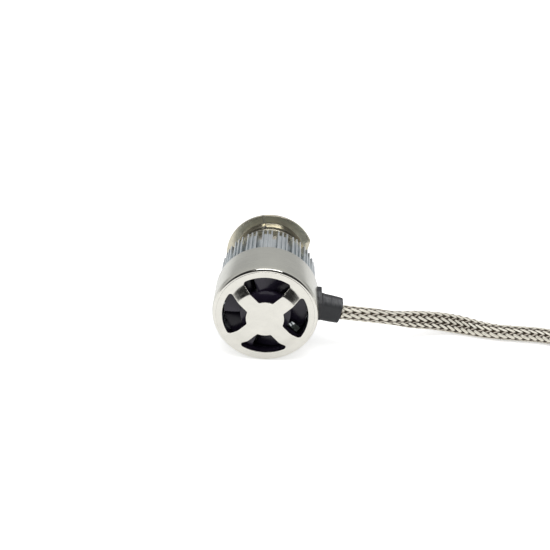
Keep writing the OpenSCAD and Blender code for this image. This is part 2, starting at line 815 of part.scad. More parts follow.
module crimp_ring() {
    color("silver") cable_axis()
        tube(jacket_d / 2 + 0.45, jacket_d / 2 + fit, 0.6 - jacket_in, 2.2 - jacket_in);
}

module power_leads() {
    lead_end = lead_len + jacket_in;
    color([0.1, 0.1, 0.1]) cable_axis() for (s = [-1, 1]) translate([0.9 * s, 0, 0]) {
        disc(lead_r, -lead_end, -jacket_in);
        translate([0, 0, -lead_end]) sphere(r = lead_r);
        translate([0, 0, -lead_end]) rotate([-90, 0, 0])
            cylinder(r = lead_r, h = board_front - port_y);
    }
}

module fan_leads() {
    color([0.1, 0.1, 0.1]) for (s = [-1, 1])
        translate([fan_lead_x, motor_base_front, (fan_lead_r + lead_gap / 2) * s]) rotate([-90, 0, 0])
            cylinder(r = fan_lead_r, h = board_front - motor_base_front);
}

module led_leads() {
    color([0.1, 0.1, 0.1]) for (s = [-1, 1])
        translate([(led_lead_r + lead_gap) * s, core_front, 0]) rotate([-90, 0, 0])
            cylinder(r = led_lead_r, h = neck_back - core_front);
}

// Width, height and twist of the cord at a place along its run.
function run_width(x) = cord_exit_w + (cord_w - cord_exit_w) * smooth((x - 30) / 25);
function run_height(x) = cord_exit_w + (cord_h - cord_exit_w) * smooth((x - 30) / 25);
function run_twist(x) = 90 * smooth((x - twist_start) / (twist_mid - twist_start)) +
    90 * smooth((x - twist_mid) / (twist_end - twist_mid));

module cord_run() {
    color("silver") swept([for (i = [0:len(run_points) - 1])
        let (p = run_points[i], dir = i == 0 ? gland_face_dir : tangent(run_points, i))
            ring(p, dir, run_width(p[0]), run_height(p[0]), run_twist(p[0]), 10, 0)]);
}

module cord_coil() {
    flat = cos(30);
    color("silver") swept([for (i = [0:len(coil_points) - 1])
        ring(coil_points[i], tangent(coil_points, i), cord_w / flat, cord_h, 0, 6, 30)]);
}

// Connector frame: local +X runs from the coil's end towards the mating face.
module plug() {
    translate([boot_xy[0], boot_xy[1], plug_z]) rotate([0, 0, plug_heading]) children();
}

module heat_shrink_boot() {
    color([0.1, 0.1, 0.1]) plug() rotate([0, 90, 0]) {
        cylinder(r = boot_d / 2, h = boot_len * 0.8);
        translate([0, 0, boot_len * 0.8]) cylinder(r1 = boot_d / 2, r2 = boot_d / 2 - 0.5, h = boot_len * 0.2);
    }
}

module connector_shell() {
    shell = plug_len - nose_len;
    color([0.09, 0.09, 0.1]) plug() difference() {
        union() {
            translate([boot_len, -plug_w / 2, -plug_h / 2]) cube([shell, plug_w, plug_h]);
            translate([boot_len + shell - over, -plug_w / 2 + nose_step, -plug_h / 2 + nose_step])
                cube([nose_len + over, plug_w - 2 * nose_step, plug_h - 2 * nose_step]);
            translate([boot_len + 1.5, -2.5, plug_h / 2 - over]) cube([shell - 3, 5, 0.4 + over]);
        }
        for (s = [-1, 1]) translate([boot_len - over, s * terminal_pitch / 2, 0]) rotate([0, 90, 0])
            cylinder(r = terminal_d / 2 + fit, h = plug_len + 2 * over);
        translate([boot_len + shell + 2.6, -plug_w / 2, -plug_h / 2]) cube([2.2, plug_w, nose_step + 1]);
    }
}

module connector_lock() {
    shell = plug_len - nose_len;
    slot_x = boot_len + shell + 2.6;
    color("darkorange") plug()
        translate([slot_x + fit, -plug_w / 2 + nose_step + 0.4, -plug_h / 2 + nose_step / 2])
            cube([2.2 - 2 * fit, plug_w - 2 * nose_step - 0.8, nose_step / 2 + 1 - fit]);
}

module connector_seal() {
    shell = plug_len - nose_len;
    step = nose_step - 0.3;
    color("darkslateblue") plug() difference() {
        translate([boot_len + shell + fit, -plug_w / 2 + nose_step - step, -plug_h / 2 + nose_step - step])
            cube([1.6, plug_w - 2 * nose_step + 2 * step, plug_h - 2 * nose_step + 2 * step]);
        translate([boot_len + shell - over, -plug_w / 2 + nose_step - fit, -plug_h / 2 + nose_step - fit])
            cube([4, plug_w - 2 * nose_step + 2 * fit, plug_h - 2 * nose_step + 2 * fit]);
    }
}

module connector_terminals() {
    color("goldenrod") plug() for (s = [-1, 1])
        translate([boot_len + 1, s * terminal_pitch / 2, 0]) rotate([0, 90, 0]) difference() {
            cylinder(r = terminal_d / 2, h = plug_len - 2.5);
            translate([0, 0, 6]) cylinder(r = terminal_d / 4, h = plug_len);
        }
}

fan_guard();
housing_sleeve();
fan_frame();
bearing_sleeve();
bearing_cap();
stator_core();
stator_coils();
motor_board();
impeller();
rotor_yoke();
rotor_magnet();
rotor_shaft();
shaft_clip();
driver_board();
driver_components();
board_screws();
heat_sink();
thermal_core();
locking_collar();
set_screw();
face_seal();
retaining_ring();
led_post();
post_screws();
led_board_upper();
led_board_lower();
led_chips();
glass_cover();
cable_gland();
inner_cable();
crimp_ring();
power_leads();
fan_leads();
led_leads();
cord_run();
cord_coil();
heat_shrink_boot();
connector_shell();
connector_lock();
connector_seal();
connector_terminals();
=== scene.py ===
"""Looks of a fan-cooled LED lamp with a braided lead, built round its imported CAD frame.

Shapes are worked out in millimetres and turned into metres when a mesh is made. The lamp
axis is Y: the fan faces -Y, the LED head points to +Y and +Z is up.
"""

import math

import bmesh
import bpy
import numpy as np
from mathutils import Matrix, Vector
from mathutils.geometry import delaunay_2d_cdt


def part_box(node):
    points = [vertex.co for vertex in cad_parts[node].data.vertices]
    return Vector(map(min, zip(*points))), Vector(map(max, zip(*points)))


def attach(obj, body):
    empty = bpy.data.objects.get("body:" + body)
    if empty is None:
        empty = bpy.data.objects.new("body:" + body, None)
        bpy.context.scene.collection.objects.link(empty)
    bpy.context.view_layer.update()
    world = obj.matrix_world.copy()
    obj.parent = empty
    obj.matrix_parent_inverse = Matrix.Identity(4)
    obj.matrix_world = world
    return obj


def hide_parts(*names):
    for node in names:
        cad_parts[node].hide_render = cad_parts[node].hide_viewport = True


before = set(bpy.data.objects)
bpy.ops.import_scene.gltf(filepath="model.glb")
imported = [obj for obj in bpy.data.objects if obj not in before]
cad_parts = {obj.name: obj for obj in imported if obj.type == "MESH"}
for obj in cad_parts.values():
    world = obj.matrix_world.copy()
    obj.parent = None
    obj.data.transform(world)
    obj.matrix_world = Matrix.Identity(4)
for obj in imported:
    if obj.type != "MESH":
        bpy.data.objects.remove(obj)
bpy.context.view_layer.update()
MM = 0.001


def reach(node):
    """Where a CAD node starts and ends on Y and how far up it goes, in millimetres."""
    lowest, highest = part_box(node)
    return lowest[1] / MM, highest[1] / MM, highest[2] / MM


SLEEVE_FRONT, SLEEVE_BACK, BODY_R = reach("housing_sleeve")
GUARD_CROWN, FAN_FRONT, GUARD_R = reach("fan_guard")
FAN_BACK = reach("fan_frame")[1]
HUB_FRONT, HUB_BACK = reach("impeller")[:2]
SINK_FRONT, SINK_BACK, FIN_R = reach("heat_sink")
CORE_FRONT, NECK_BACK, NECK_R = reach("thermal_core")
COLLAR_FRONT, SPIGOT_BACK, COLLAR_R = reach("locking_collar")
GLASS_FRONT, GLASS_BACK, GLASS_R = reach("glass_cover")
FLOOR = -BODY_R


def unit(v):
    return v / np.linalg.norm(v)


def heading(angle):
    return np.array([math.cos(math.radians(angle)), math.sin(math.radians(angle))])


def linked(name, data):
    """A new object in the scene."""
    obj = bpy.data.objects.new(name, data)
    bpy.context.scene.collection.objects.link(obj)
    return obj


# Camera ----

ELEVATION = 28.14
ROLL = 3.74
DISTANCE = 300.0
FOCAL_PX = 894.0
PICTURE = 550
SENSOR = 36.0
GUARD_FACE = FAN_FRONT - 1.8
# Where the middle of the guard's rim is in the picture.
RIM_AT_PX = (265.15, 315.95)


def make_camera():
    (ce, se), (cr, sr) = heading(ELEVATION), heading(ROLL)
    back, level, rise = np.array([0, -ce, se]), np.array([1.0, 0, 0]), np.array([0, se, ce])
    right, up = cr * level + sr * rise, cr * rise - sr * level
    across, down = ((at - PICTURE / 2) / FOCAL_PX * DISTANCE for at in RIM_AT_PX)
    place = np.array([0, GUARD_FACE, 0]) + back * DISTANCE - right * across + up * down
    data = bpy.data.cameras.new("camera")
    data.sensor_width = SENSOR
    data.lens = FOCAL_PX / PICTURE * SENSOR
    data.clip_start, data.clip_end = 0.01, 10
    camera = linked("camera", data)
    turn = Matrix([right, up, back]).transposed().to_4x4()
    camera.matrix_world = Matrix.Translation(Vector(place * MM)) @ turn
    bpy.context.scene.camera = camera


make_camera()

# Mesh helpers ----
# A shape is a pair of points, in millimetres, and faces.

SMOOTH_UNDER = 35
MERGE_UNDER = 0.002


def loose(name, shape):
    """An object of a shape."""
    mesh = bpy.data.meshes.new(name)
    points = np.asarray(shape[0], dtype=float) * MM
    mesh.from_pydata([tuple(p) for p in points], [], [tuple(f) for f in shape[1]])
    return linked(name, mesh)


def dress(obj, material):
    obj.data.materials.clear()
    obj.data.materials.append(material)
    return obj


def shaded(obj, sharp=SMOOTH_UNDER):
    """Smooth shading, but for edges sharper than an angle."""
    obj.data.shade_smooth()
    obj.data.set_sharp_from_angle(angle=math.radians(sharp))


def tidy(obj, sharp=SMOOTH_UNDER):
    """Merges doubled points, makes the normals point outwards and marks sharp edges."""
    work = bmesh.new()
    work.from_mesh(obj.data)
    bmesh.ops.remove_doubles(work, verts=work.verts, dist=MERGE_UNDER * MM)
    bmesh.ops.recalc_face_normals(work, faces=work.faces)
    work.to_mesh(obj.data)
    work.free()
    shaded(obj, sharp)
    return obj


def piece(name, shape, look, replaces=None, body="lamp", sharp=SMOOTH_UNDER):
    """A visible piece, for whose look None means that it is dressed later."""
    obj = loose(name, shape)
    obj.data.validate()
    tidy(obj, sharp)
    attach(obj, body)
    if replaces:
        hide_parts(replaces)
    return dress(obj, look) if look else obj


def helper(name, shape):
    """A loose mesh used as a cutter."""
    return tidy(loose(name, shape))


def baked(obj):
    """Applies an object's modifiers to its mesh."""
    graph = bpy.context.evaluated_depsgraph_get()
    mesh = bpy.data.meshes.new_from_object(obj.evaluated_get(graph))
    old = obj.data
    obj.modifiers.clear()
    obj.data = mesh
    bpy.data.meshes.remove(old)
    shaded(obj)


def bevelled(obj, width):
    """Rounds the sharp edges."""
    bevel = obj.modifiers.new("bevel", "BEVEL")
    bevel.width = width * MM
    bevel.segments = 2
    bevel.limit_method = "ANGLE"
    bevel.angle_limit = math.radians(60)
    baked(obj)


def cut(obj, *cutters):
    """Subtracts helpers, which are deleted."""
    for cutter in cutters:
        tool = obj.modifiers.new("cut", "BOOLEAN")
        tool.operation = "DIFFERENCE"
        tool.solver = "EXACT"
        tool.object = cutter
    baked(obj)
    for cutter in cutters:
        bpy.data.objects.remove(cutter)


def joined(parts):
    """One shape from several."""
    verts, faces = [], []
    for v, f in parts:
        faces += [tuple(len(verts) + i for i in face) for face in f]
        verts += v
    return verts, faces


def fillet(points, radii, closed=False, steps=6):
    """A polyline with rounded corners. radii holds one radius for each point."""
    out, n = [], len(points)
    pts = [np.array(p, dtype=float) for p in points]
    for i, p in enumerate(pts):
        radius = radii[i]
        if radius == 0 or (not closed and i in (0, n - 1)):
            out.append(p)
            continue
        u, v = unit(pts[i - 1] - p), unit(pts[(i + 1) % n] - p)
        half = math.acos(max(-1, min(1, float(u @ v)))) / 2
        centre = p + unit(u + v) * radius / math.sin(half)
        a, b = (p + w * radius / math.tan(half) - centre for w in (u, v))
        swing = math.pi - 2 * half
        for t in np.arange(steps + 1) / steps:
            out.append(centre + (math.sin((1 - t) * swing) * a + math.sin(t * swing) * b) / math.sin(swing))
    return out


def lathe(profile, segments=160, closed=True):
    """A profile of (radius, y) turned round the lamp axis."""
    n = len(profile)
    verts = [(r * math.cos(a), y, r * math.sin(a))
             for a in (2 * math.pi * i / segments for i in range(segments)) for r, y in profile]
    ends = [(i * n, (i + 1) % segments * n) for i in range(segments)]
    sides = [(k, (k + 1) % n) for k in range(n if closed else n - 1)]
    return verts, [(i + k, i + m, j + m, j + k) for i, j in ends for k, m in sides]


def strip(a, b):
    """Faces between two closed rows of points."""
    n = len(a)
    return [(a[k], a[(k + 1) % n], b[(k + 1) % n], b[k]) for k in range(n)]


def loft(rings):
    """Rings of equal length, one after another, with both ends closed."""
    n, end = len(rings[0]), len(rings[0]) * (len(rings) - 1)
    faces = [(i + k, i + n + k, i + n + (k + 1) % n, i + (k + 1) % n)
             for i in range(0, end, n) for k in range(n)]
    faces += [tuple(range(n)), tuple(reversed(range(end, end + n)))]
    return [tuple(p) for ring in rings for p in ring], faces


def block(low, high):
    """A box."""
    verts = [(x, y, z) for x in (low[0], high[0]) for y in (low[1], high[1]) for z in (low[2], high[2])]
    return verts, [(0, 1, 3, 2), (4, 6, 7, 5), (0, 4, 5, 1), (2, 3, 7, 6), (0, 2, 6, 4), (1, 5, 7, 3)]


# Materials ----


class Nodes:
    """Fills a node tree."""

    def __init__(self, tree):
        self.tree = tree
        tree.nodes.clear()

    def feed(self, socket, value):
        """Links a socket to another, or sets it to a number, vector or colour."""
        if isinstance(value, bpy.types.NodeSocket):
            self.tree.links.new(value, socket)
        else:
            socket.default_value = (*value, 1) if socket.type == "RGBA" else value

    def node(self, kind, sockets=None, **values):
        made = self.tree.nodes.new("ShaderNode" + kind)
        for key, value in values.items():
            setattr(made, key, value)
        for key, value in (sockets or {}).items():
            self.feed(made.inputs[key], value)
        return made

    def calc(self, operation, *values):
        return self.node("Math", dict(enumerate(values)), operation=operation).outputs[0]

    def dot(self, vector, way):
        return self.node("VectorMath", {0: vector, 1: way}, operation="DOT_PRODUCT").outputs["Value"]

    def axes(self, vector):
        return self.node("SeparateXYZ", {0: vector}).outputs

    def ranged(self, value, low, high, start=0.3, end=0.7, **kind):
        """A value scaled from between start and end to between low and high."""
        return self.node("MapRange", {"Value": value, "From Min": start, "From Max": end, "To Min": low,
                                      "To Max": high}, **kind).outputs["Result"]


SOCKETS = {"color": "Base Color", "rough": "Roughness", "metal": "Metallic", "ior": "IOR",
           "coat": "Coat Weight", "coat_rough": "Coat Roughness", "specular": "Specular IOR Level",
           "transmission": "Transmission Weight"}


class Look(Nodes):
    """Builds one procedural material. Texture places are in the object's frame, in metres."""

    def __init__(self, name, **values):
        self.material = bpy.data.materials.new(name)
        self.material.use_nodes = True
        super().__init__(self.material.node_tree)
        self.shader = self.node("BsdfPrincipled", {SOCKETS[key]: value for key, value in values.items()})
        self.out = self.node("OutputMaterial", {"Surface": self.shader.outputs[0]})
        self.place = self.node("TexCoord").outputs["Object"]

    def stretched(self, scale, place=None):
        """Texture places scaled along each axis."""
        place = self.place if place is None else place
        return self.node("Mapping", {"Vector": place, "Scale": scale}).outputs[0]

    def rings(self, scale):
        """Texture places that are the same all round the lamp axis."""
        x, y, z = self.axes(self.place)
        flat = self.node("CombineXYZ", {0: x, 1: z}).outputs[0]
        out = self.node("VectorMath", {0: flat}, operation="LENGTH").outputs["Value"]
        return self.stretched((scale, scale, scale), self.node("CombineXYZ", {0: out, 1: y}).outputs[0])

    def noise(self, scale, detail=4, place=None):
        return self.node("TexNoise", {"Vector": self.place if place is None else place, "Scale": scale,
                                      "Detail": detail, "Roughness": 0.55}).outputs["Fac"]

    def mixed(self, factor, dark, light):
        """A colour between two, which are colours or sockets."""
        return self.node("Mix", {"Factor": factor, 6: dark, 7: light}, data_type="RGBA").outputs[2]

    def patches(self, noise, dark, light):
        """Soft patches of two colours."""
        return self.mixed(self.ranged(noise, 0, 1), dark, light)

    def colour(self, socket):
        self.feed(self.shader.inputs["Base Color"], socket)

    def roughness(self, noise, low, high):
        self.feed(self.shader.inputs["Roughness"], self.ranged(noise, low, high))

    def bumped(self, height, strength, distance):
        """The finished material, with a bump whose distance is in millimetres."""
        bump = self.node("Bump", {"Height": height, "Strength": strength, "Distance": distance * MM})
        self.feed(self.shader.inputs["Normal"], bump.outputs[0])
        return self.material

    def attribute(self, name):
        return self.node("Attribute", attribute_name=name).outputs["Fac"]


def shade(colour, factor):
    return tuple(c * factor for c in colour)


def turned_metal(name, colour, rough, marks=0.4, spread=0.12, ring_scale=2200, coat=0.0):
    """Metal turned on a lathe: fine rings, faint blotches."""
    look = Look(name, metal=1.0, rough=rough, coat=coat, coat_rough=0.15)
    rings = look.noise(1, 3, look.rings(ring_scale))
    look.colour(look.patches(look.noise(140, 3), shade(colour, 1 - spread), colour))
    look.roughness(rings, rough * 0.8, rough * 1.25)
    return look.bumped(rings, marks, 0.004)


def polished_metal(name, colour, rough):
    """Smooth plated metal with faint smears and tiny pits."""
    look = Look(name, metal=1.0, rough=rough)
    smear = look.noise(1, 5, look.stretched((220, 160, 420)))
    look.colour(look.patches(smear, shade(colour, 0.92), colour))
    look.roughness(look.noise(700, 3), rough * 0.7, rough * 1.5)
    return look.bumped(look.noise(1600, 2), 0.06, 0.004)


def plastic(name, colour, rough, grain=900, depth=0.15, spread=0.25):
    """Moulded plastic or rubber with a fine grain."""
    look = Look(name, metal=0.0, rough=rough, specular=0.5)
    look.colour(look.patches(look.noise(160), shade(colour, 1 - spread), shade(colour, 1 + spread)))
    look.roughness(look.noise(grain * 0.5, 3), rough * 0.85, rough * 1.15)
    return look.bumped(look.noise(grain * 2, 2), depth, 0.01)


# The gland's painted highlight fades in between these heights, square to its slope, and these places on Y.
HIGHLIGHT_TILT, HIGHLIGHT_HEIGHTS, HIGHLIGHT_DEPTHS = 9.5, (4.9, 6.0), (-35.0, -36.6)


def gland_rubber():
    """Black rubber, with a painted grey highlight in short ridge-like streaks along the upper front edge of the
    gland.
    """
    look = Look("gland_rubber", metal=0.0, rough=0.42, specular=0.35)
    c, s = heading(HIGHLIGHT_TILT)
    # Painted highlight: grey streaks stand in for the lamp's highlight on the upper front edge.
    painted_highlight = look.ranged(look.noise(1, 3, look.stretched((1500, 250, 300))), 0.25, 1, 0.35, 0.6)
    for value, (start, end) in ((look.axes(look.place)[1], HIGHLIGHT_DEPTHS),
                                (look.dot(look.place, (s, 0, c)), HIGHLIGHT_HEIGHTS)):
        painted_highlight = look.calc("MULTIPLY", painted_highlight, look.ranged(value, 0, 1, start * MM, end * MM))
    plain = look.patches(look.noise(160), (0.020, 0.021, 0.023), (0.030, 0.031, 0.034))
    look.colour(look.mixed(painted_highlight, plain, (0.125, 0.127, 0.132)))
    look.roughness(look.noise(600, 3), 0.38, 0.5)
    return look.bumped(look.noise(2400, 2), 0.2, 0.01)


def fan_plastic():
    """Glossy purplish black, with painted shade: duller and blacker deep in the fan."""
    look = Look("fan_plastic", metal=0.0, rough=0.2)
    # Painted shade: deeper in the fan the colour goes nearly black and the specular level falls.
    unshaded = look.ranged(look.axes(look.place)[1], 1, 0, (FAN_FRONT + 0.3) * MM, (FAN_BACK - 0.6) * MM)
    front = look.patches(look.noise(160), (0.018, 0.014, 0.028), (0.026, 0.021, 0.038))
    look.colour(look.mixed(unshaded, (0.002, 0.0015, 0.003), front))
    look.feed(look.shader.inputs["Specular IOR Level"], look.ranged(unshaded, 0.06, 0.5, 0, 1))
    look.roughness(look.noise(350, 3), 0.17, 0.24)
    return look.bumped(look.noise(1400, 2), 0.04, 0.01)


def fin_metal():
    """Anodised aluminium with saw marks along the fins."""
    colour = (0.68, 0.72, 0.735)
    look = Look("fin_aluminium", metal=1.0, rough=0.32)
    streak = look.noise(1, 3, look.stretched((2600, 120, 2600)))
    look.colour(look.patches(look.noise(260, 3), shade(colour, 0.86), colour))
    look.roughness(streak, 0.24, 0.42)
    return look.bumped(streak, 0.35, 0.01)


def glass_look():
    look = Look("cover_glass", color=(0.97, 0.985, 1.0), rough=0.02, transmission=1.0, ior=1.45)
    look.roughness(look.noise(300), 0.01, 0.05)
    return look.material


def phosphor_look():
    look = Look("phosphor", rough=0.5)
    grain = look.noise(9000, 2)
    look.colour(look.patches(grain, (0.80, 0.58, 0.06), (0.95, 0.78, 0.18)))
    return look.bumped(grain, 0.3, 0.02)


def copper_wire_look():
    look = Look("coil_copper", metal=1.0, rough=0.3)
    turns = look.node("TexWave", {"Vector": look.place, "Scale": 1400}, bands_direction="Y").outputs["Fac"]
    # Painted shade: darker copper in the grooves between turns, where the bump is low.
    look.colour(look.mixed(turns, (0.30, 0.09, 0.03), (0.80, 0.38, 0.18)))
    return look.bumped(turns, 0.6, 0.06)


def board_look():
    look = Look("circuit_board", rough=0.35, coat=0.3)
    tracks = look.node("TexVoronoi", {"Vector": look.place, "Scale": 700}, distance="CHEBYCHEV", feature="F1")
    near = look.ranged(tracks.outputs["Distance"], 0, 1, 0.38, 0.46)
    look.colour(look.mixed(near, (0.006, 0.008, 0.008), (0.014, 0.018, 0.016)))
    return look.bumped(near, 0.2, 0.03)


def braid_look():
    """Pale strands of two wires each, painted darker as shade where they dip under the others, at their edges,
    between their wires and on the whole crossing family.
    """
    look = Look("metal_braid", metal=0.3, rough=0.3)
    shade_by_lift = look.ranged(look.attribute("shade_by_lift"), 0, 1, 0.36, 0.82)
    wires = look.calc("COSINE", look.calc("MULTIPLY", look.attribute("across"), 14.0))
    fibre = look.ranged(wires, 1, 0, -1, 1)
    bright = look.patches(look.noise(350, 3), (0.96, 0.92, 0.80), (1.0, 0.98, 0.88))
    # Painted shade: each strand is darker between its wires, where the bump is low.
    lined = look.mixed(fibre, (0.86, 0.81, 0.68), bright)
    # Painted shade: the crossing family is a darker copy of the same strands.
    dim = look.mixed(fibre, (0.50, 0.44, 0.36), (0.85, 0.78, 0.68))
    top = look.mixed(look.attribute("family"), lined, dim)
    # Painted shade: towards dark brown where strands dip under, at their edges and on the core.
    look.colour(look.mixed(shade_by_lift, (0.05, 0.034, 0.017), top))
    look.roughness(look.noise(900, 2), 0.3, 0.48)
    return look.bumped(fibre, 0.35, 0.04)


CHROME = polished_metal("guard_chrome", (0.78, 0.765, 0.70), 0.17)
SLEEVE = turned_metal("sleeve_metal", (0.625, 0.625, 0.56), 0.3, 0.05, ring_scale=6000, coat=0.4)
FAN_BLACK = fan_plastic()
LIP = polished_metal("sleeve_lip", (0.80, 0.785, 0.72), 0.13)
FIN = fin_metal()
BRASS = turned_metal("core_brass", (0.90, 0.87, 0.78), 0.3, 0.2)
COLLAR = turned_metal("collar_metal", (0.72, 0.68, 0.55), 0.2, 0.1, spread=0.2, ring_scale=3200)
GLASS = glass_look()
RUBBER = gland_rubber()
BRAID = braid_look()
SHRINK = plastic("shrink_black", (0.016, 0.016, 0.016), 0.38, 1500, 0.2)
CONNECTOR = plastic("connector_plastic", (0.02, 0.02, 0.022), 0.42, 1200, 0.2)

# The looks of the CAD's own nodes, also of those that a piece replaces.
for look, nodes in (
    (CHROME, "fan_guard"), (SLEEVE, "housing_sleeve"), (FAN_BLACK, "fan_frame impeller"),
    (FIN, "heat_sink"), (BRASS, "thermal_core"), (COLLAR, "locking_collar"), (GLASS, "glass_cover"),
    (RUBBER, "cable_gland"), (BRAID, "cord_run cord_coil"), (SHRINK, "heat_shrink_boot"),
    (CONNECTOR, "connector_shell"),
    (turned_metal("steel", (0.58, 0.58, 0.59), 0.3),
     "bearing_cap rotor_yoke rotor_shaft shaft_clip board_screws set_screw retaining_ring post_screws crimp_ring"),
    (turned_metal("bearing_bronze", (0.58, 0.38, 0.2), 0.35), "bearing_sleeve"),
    (turned_metal("stator_steel", (0.32, 0.33, 0.36), 0.4), "stator_core"),
    (copper_wire_look(), "stator_coils"),
    (board_look(), "motor_board driver_board"),
    (plastic("magnet", (0.05, 0.05, 0.055), 0.55), "rotor_magnet"),
    (plastic("component_black", (0.02, 0.02, 0.022), 0.45), "driver_components"),
    (plastic("seal_rubber", (0.02, 0.02, 0.02), 0.6), "face_seal"),
    (turned_metal("post_copper", (0.80, 0.44, 0.27), 0.28), "led_post"),
    (plastic("led_ceramic", (0.80, 0.80, 0.76), 0.55, spread=0.05), "led_board_upper led_board_lower"),
    (phosphor_look(), "led_chips"),
    (plastic("jacket_black", (0.02, 0.02, 0.02), 0.5), "inner_cable"),
    (plastic("lead_insulation", (0.014, 0.014, 0.016), 0.4), "power_leads fan_leads led_leads"),
    (plastic("lock_orange", (0.75, 0.17, 0.015), 0.4, spread=0.12), "connector_lock"),
    (plastic("connector_seal", (0.03, 0.06, 0.22), 0.5), "connector_seal"),
    (turned_metal("terminal_brass", (0.80, 0.62, 0.34), 0.25), "connector_terminals"),
):
    for node in nodes.split():
        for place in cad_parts[node].material_slots:
            place.material = look

# Shape helpers ----


def units(rows):
    """Each row as a unit vector."""
    return rows / np.linalg.norm(rows, axis=1)[:, None]


def evened(points, step):
    """Points about a step apart on a polyline, and its length."""
    run = np.concatenate([[0], np.cumsum(np.linalg.norm(np.diff(points, axis=0), axis=1))])
    even = np.linspace(0, run[-1], int(run[-1] / step) + 1)
    return np.stack([np.interp(even, run, column) for column in points.T], axis=1), run[-1]


def rounded_rect(w, h, corner, steps=4):
    """Points of (u, v) round a rectangle of half sizes w and h."""
    corner = max(min(corner, w, h), 1e-3)
    return [(su * (w - corner) + corner * math.cos(a), sv * (h - corner) + corner * math.sin(a))
            for k, (su, sv) in enumerate(((1, 1), (-1, 1), (-1, -1), (1, -1)))
            for a in math.pi / 2 * (k + np.arange(steps + 1) / steps)]


def rounded_box(size, radius, steps=3):
    """A box along local x with rounded edges, centred on the origin."""
    hx, hy, hz = (s / 2 for s in size)
    rings = []
    for end in (-1, 1):
        for i in range(steps + 1):
            a = math.pi / 2 * (i / steps if end < 0 else 1 - i / steps)
            x, inset = end * (hx - radius + radius * math.cos(a)), radius * (1 - math.sin(a))
            rings.append([(x, u, v) for u, v in
                          rounded_rect(hy - inset, hz - inset, radius * math.sin(a), steps)])
    return loft(rings)


def placed(shape, origin, *axes):
    """A shape moved into the frame given by an origin and three axes."""
    return [tuple(origin + np.array(p) @ np.array(axes)) for p in shape[0]], shape[1]


def radial(angle):
    """Outward, axial and sideways axes at an angle round the lamp axis."""
    c, s = heading(angle)
    return np.array([[c, 0, s], [0, 1, 0], [-s, 0, c]])


def bored(name, a, b, radius, sides=48):
    """A cylinder from a to b used as a cutter."""
    d = unit(b - a)
    u = unit(np.cross(d, [0.3, 0.5, 0.81]))
    v = np.cross(d, u)
    turns = np.linspace(0, 2 * math.pi, sides, endpoint=False)
    return helper(name, loft([[p + radius * (math.cos(t) * u + math.sin(t) * v) for t in turns]
                              for p in (a, b)]))


# Cord ----

CORD_W, CORD_H, CORD_EXIT_W = 7.0, 5.0, 5.2
GLAND_TILT, CABLE_DROOP, GLAND_LEN = 9.5, 3.0, 8.0
PORT = np.array([BODY_R, FAN_BACK + 3.4, -2.2])
CORD_Z = FLOOR + CORD_H / 2
PLUG_Z = FLOOR + 5.0
CORD_ROUTE = [
    (38, -34.6, -3.9), (44, -31.7, -6), (50, -28.1, -8.2), (56, -24.6, -10.2), (62, -21.5, -12.1),
    (68, -19.5, -13.7), (74, -19, -14.8), (80, -19.8, -15.4), (86, -20.6, -15.5),
    (94, -20.8, -15.5), (102, -21.1, -15.5), (108, -22.7, -15.5), (114, -26, -15.5),
]
TWIST_START, TWIST_MID, TWIST_END = 36.0, 56.0, 88.0
# The distance from the gland within which the section changes, and where on X it widens.
CHANGE_WITHIN, WIDEN_AT, WIDEN_OVER = 110, 30, 25
BRAID_TURN = 56.0
COIL_CENTRE = np.array([164.0, -8.7])
COIL_R, COIL_PITCH, COIL_START, COIL_SWEEP, COIL_STEP = 46.0, 7.7, 225.0, 450.0, 15.0
TUCK_R, TUCK_TURN = 24.0, 120.0
STRAIGHT = CORD_W
BOOT_LEN = 10.0


def smooth(t):
    t = np.clip(t, 0, 1)
    return t * t * (3 - 2 * t)


def coil_radius(angle):
    return COIL_R - COIL_PITCH * angle / 360


def lifted(p, z):
    return np.array([p[0], p[1], z])


def drooping(angle):
    c, s = heading(angle)
    return np.array([c, 0, -s])


CABLE_DIR, GLAND_DIR = drooping(CABLE_DROOP), drooping(GLAND_TILT)
GLAND_EXIT = PORT + GLAND_LEN / float(CABLE_DIR @ GLAND_DIR) * CABLE_DIR
TUCK_START = COIL_START + COIL_SWEEP
TUCK_CENTRE = COIL_CENTRE + (coil_radius(COIL_SWEEP) - TUCK_R) * heading(TUCK_START)
PLUG_HEADING = TUCK_START + TUCK_TURN + 90
PLUG_DIR = lifted(heading(PLUG_HEADING), 0)
BOOT_AT = lifted(TUCK_CENTRE + TUCK_R * heading(TUCK_START + TUCK_TURN) + STRAIGHT * PLUG_DIR[:2], PLUG_Z)


def cord_points():
    """The route from the gland to the boot, as part.scad has it."""
    lead_in = STRAIGHT * heading(COIL_START + 90)
    entry = COIL_CENTRE + COIL_R * heading(COIL_START) - lead_in
    points = [GLAND_EXIT, GLAND_EXIT + STRAIGHT * CABLE_DIR, *(np.array(p, dtype=float) for p in CORD_ROUTE),
              lifted(entry - lead_in, CORD_Z), lifted(entry, CORD_Z)]
    for a in np.arange(0, COIL_SWEEP + 1, COIL_STEP):
        points.append(lifted(COIL_CENTRE + coil_radius(a) * heading(COIL_START + a), CORD_Z))
    for b in np.arange(COIL_STEP, TUCK_TURN + 1, COIL_STEP):
        rise = (PLUG_Z - CORD_Z) * float(smooth(b / (TUCK_TURN - COIL_STEP)))
        points.append(lifted(TUCK_CENTRE + TUCK_R * heading(TUCK_START + b), CORD_Z + rise))
    return [*points, BOOT_AT]


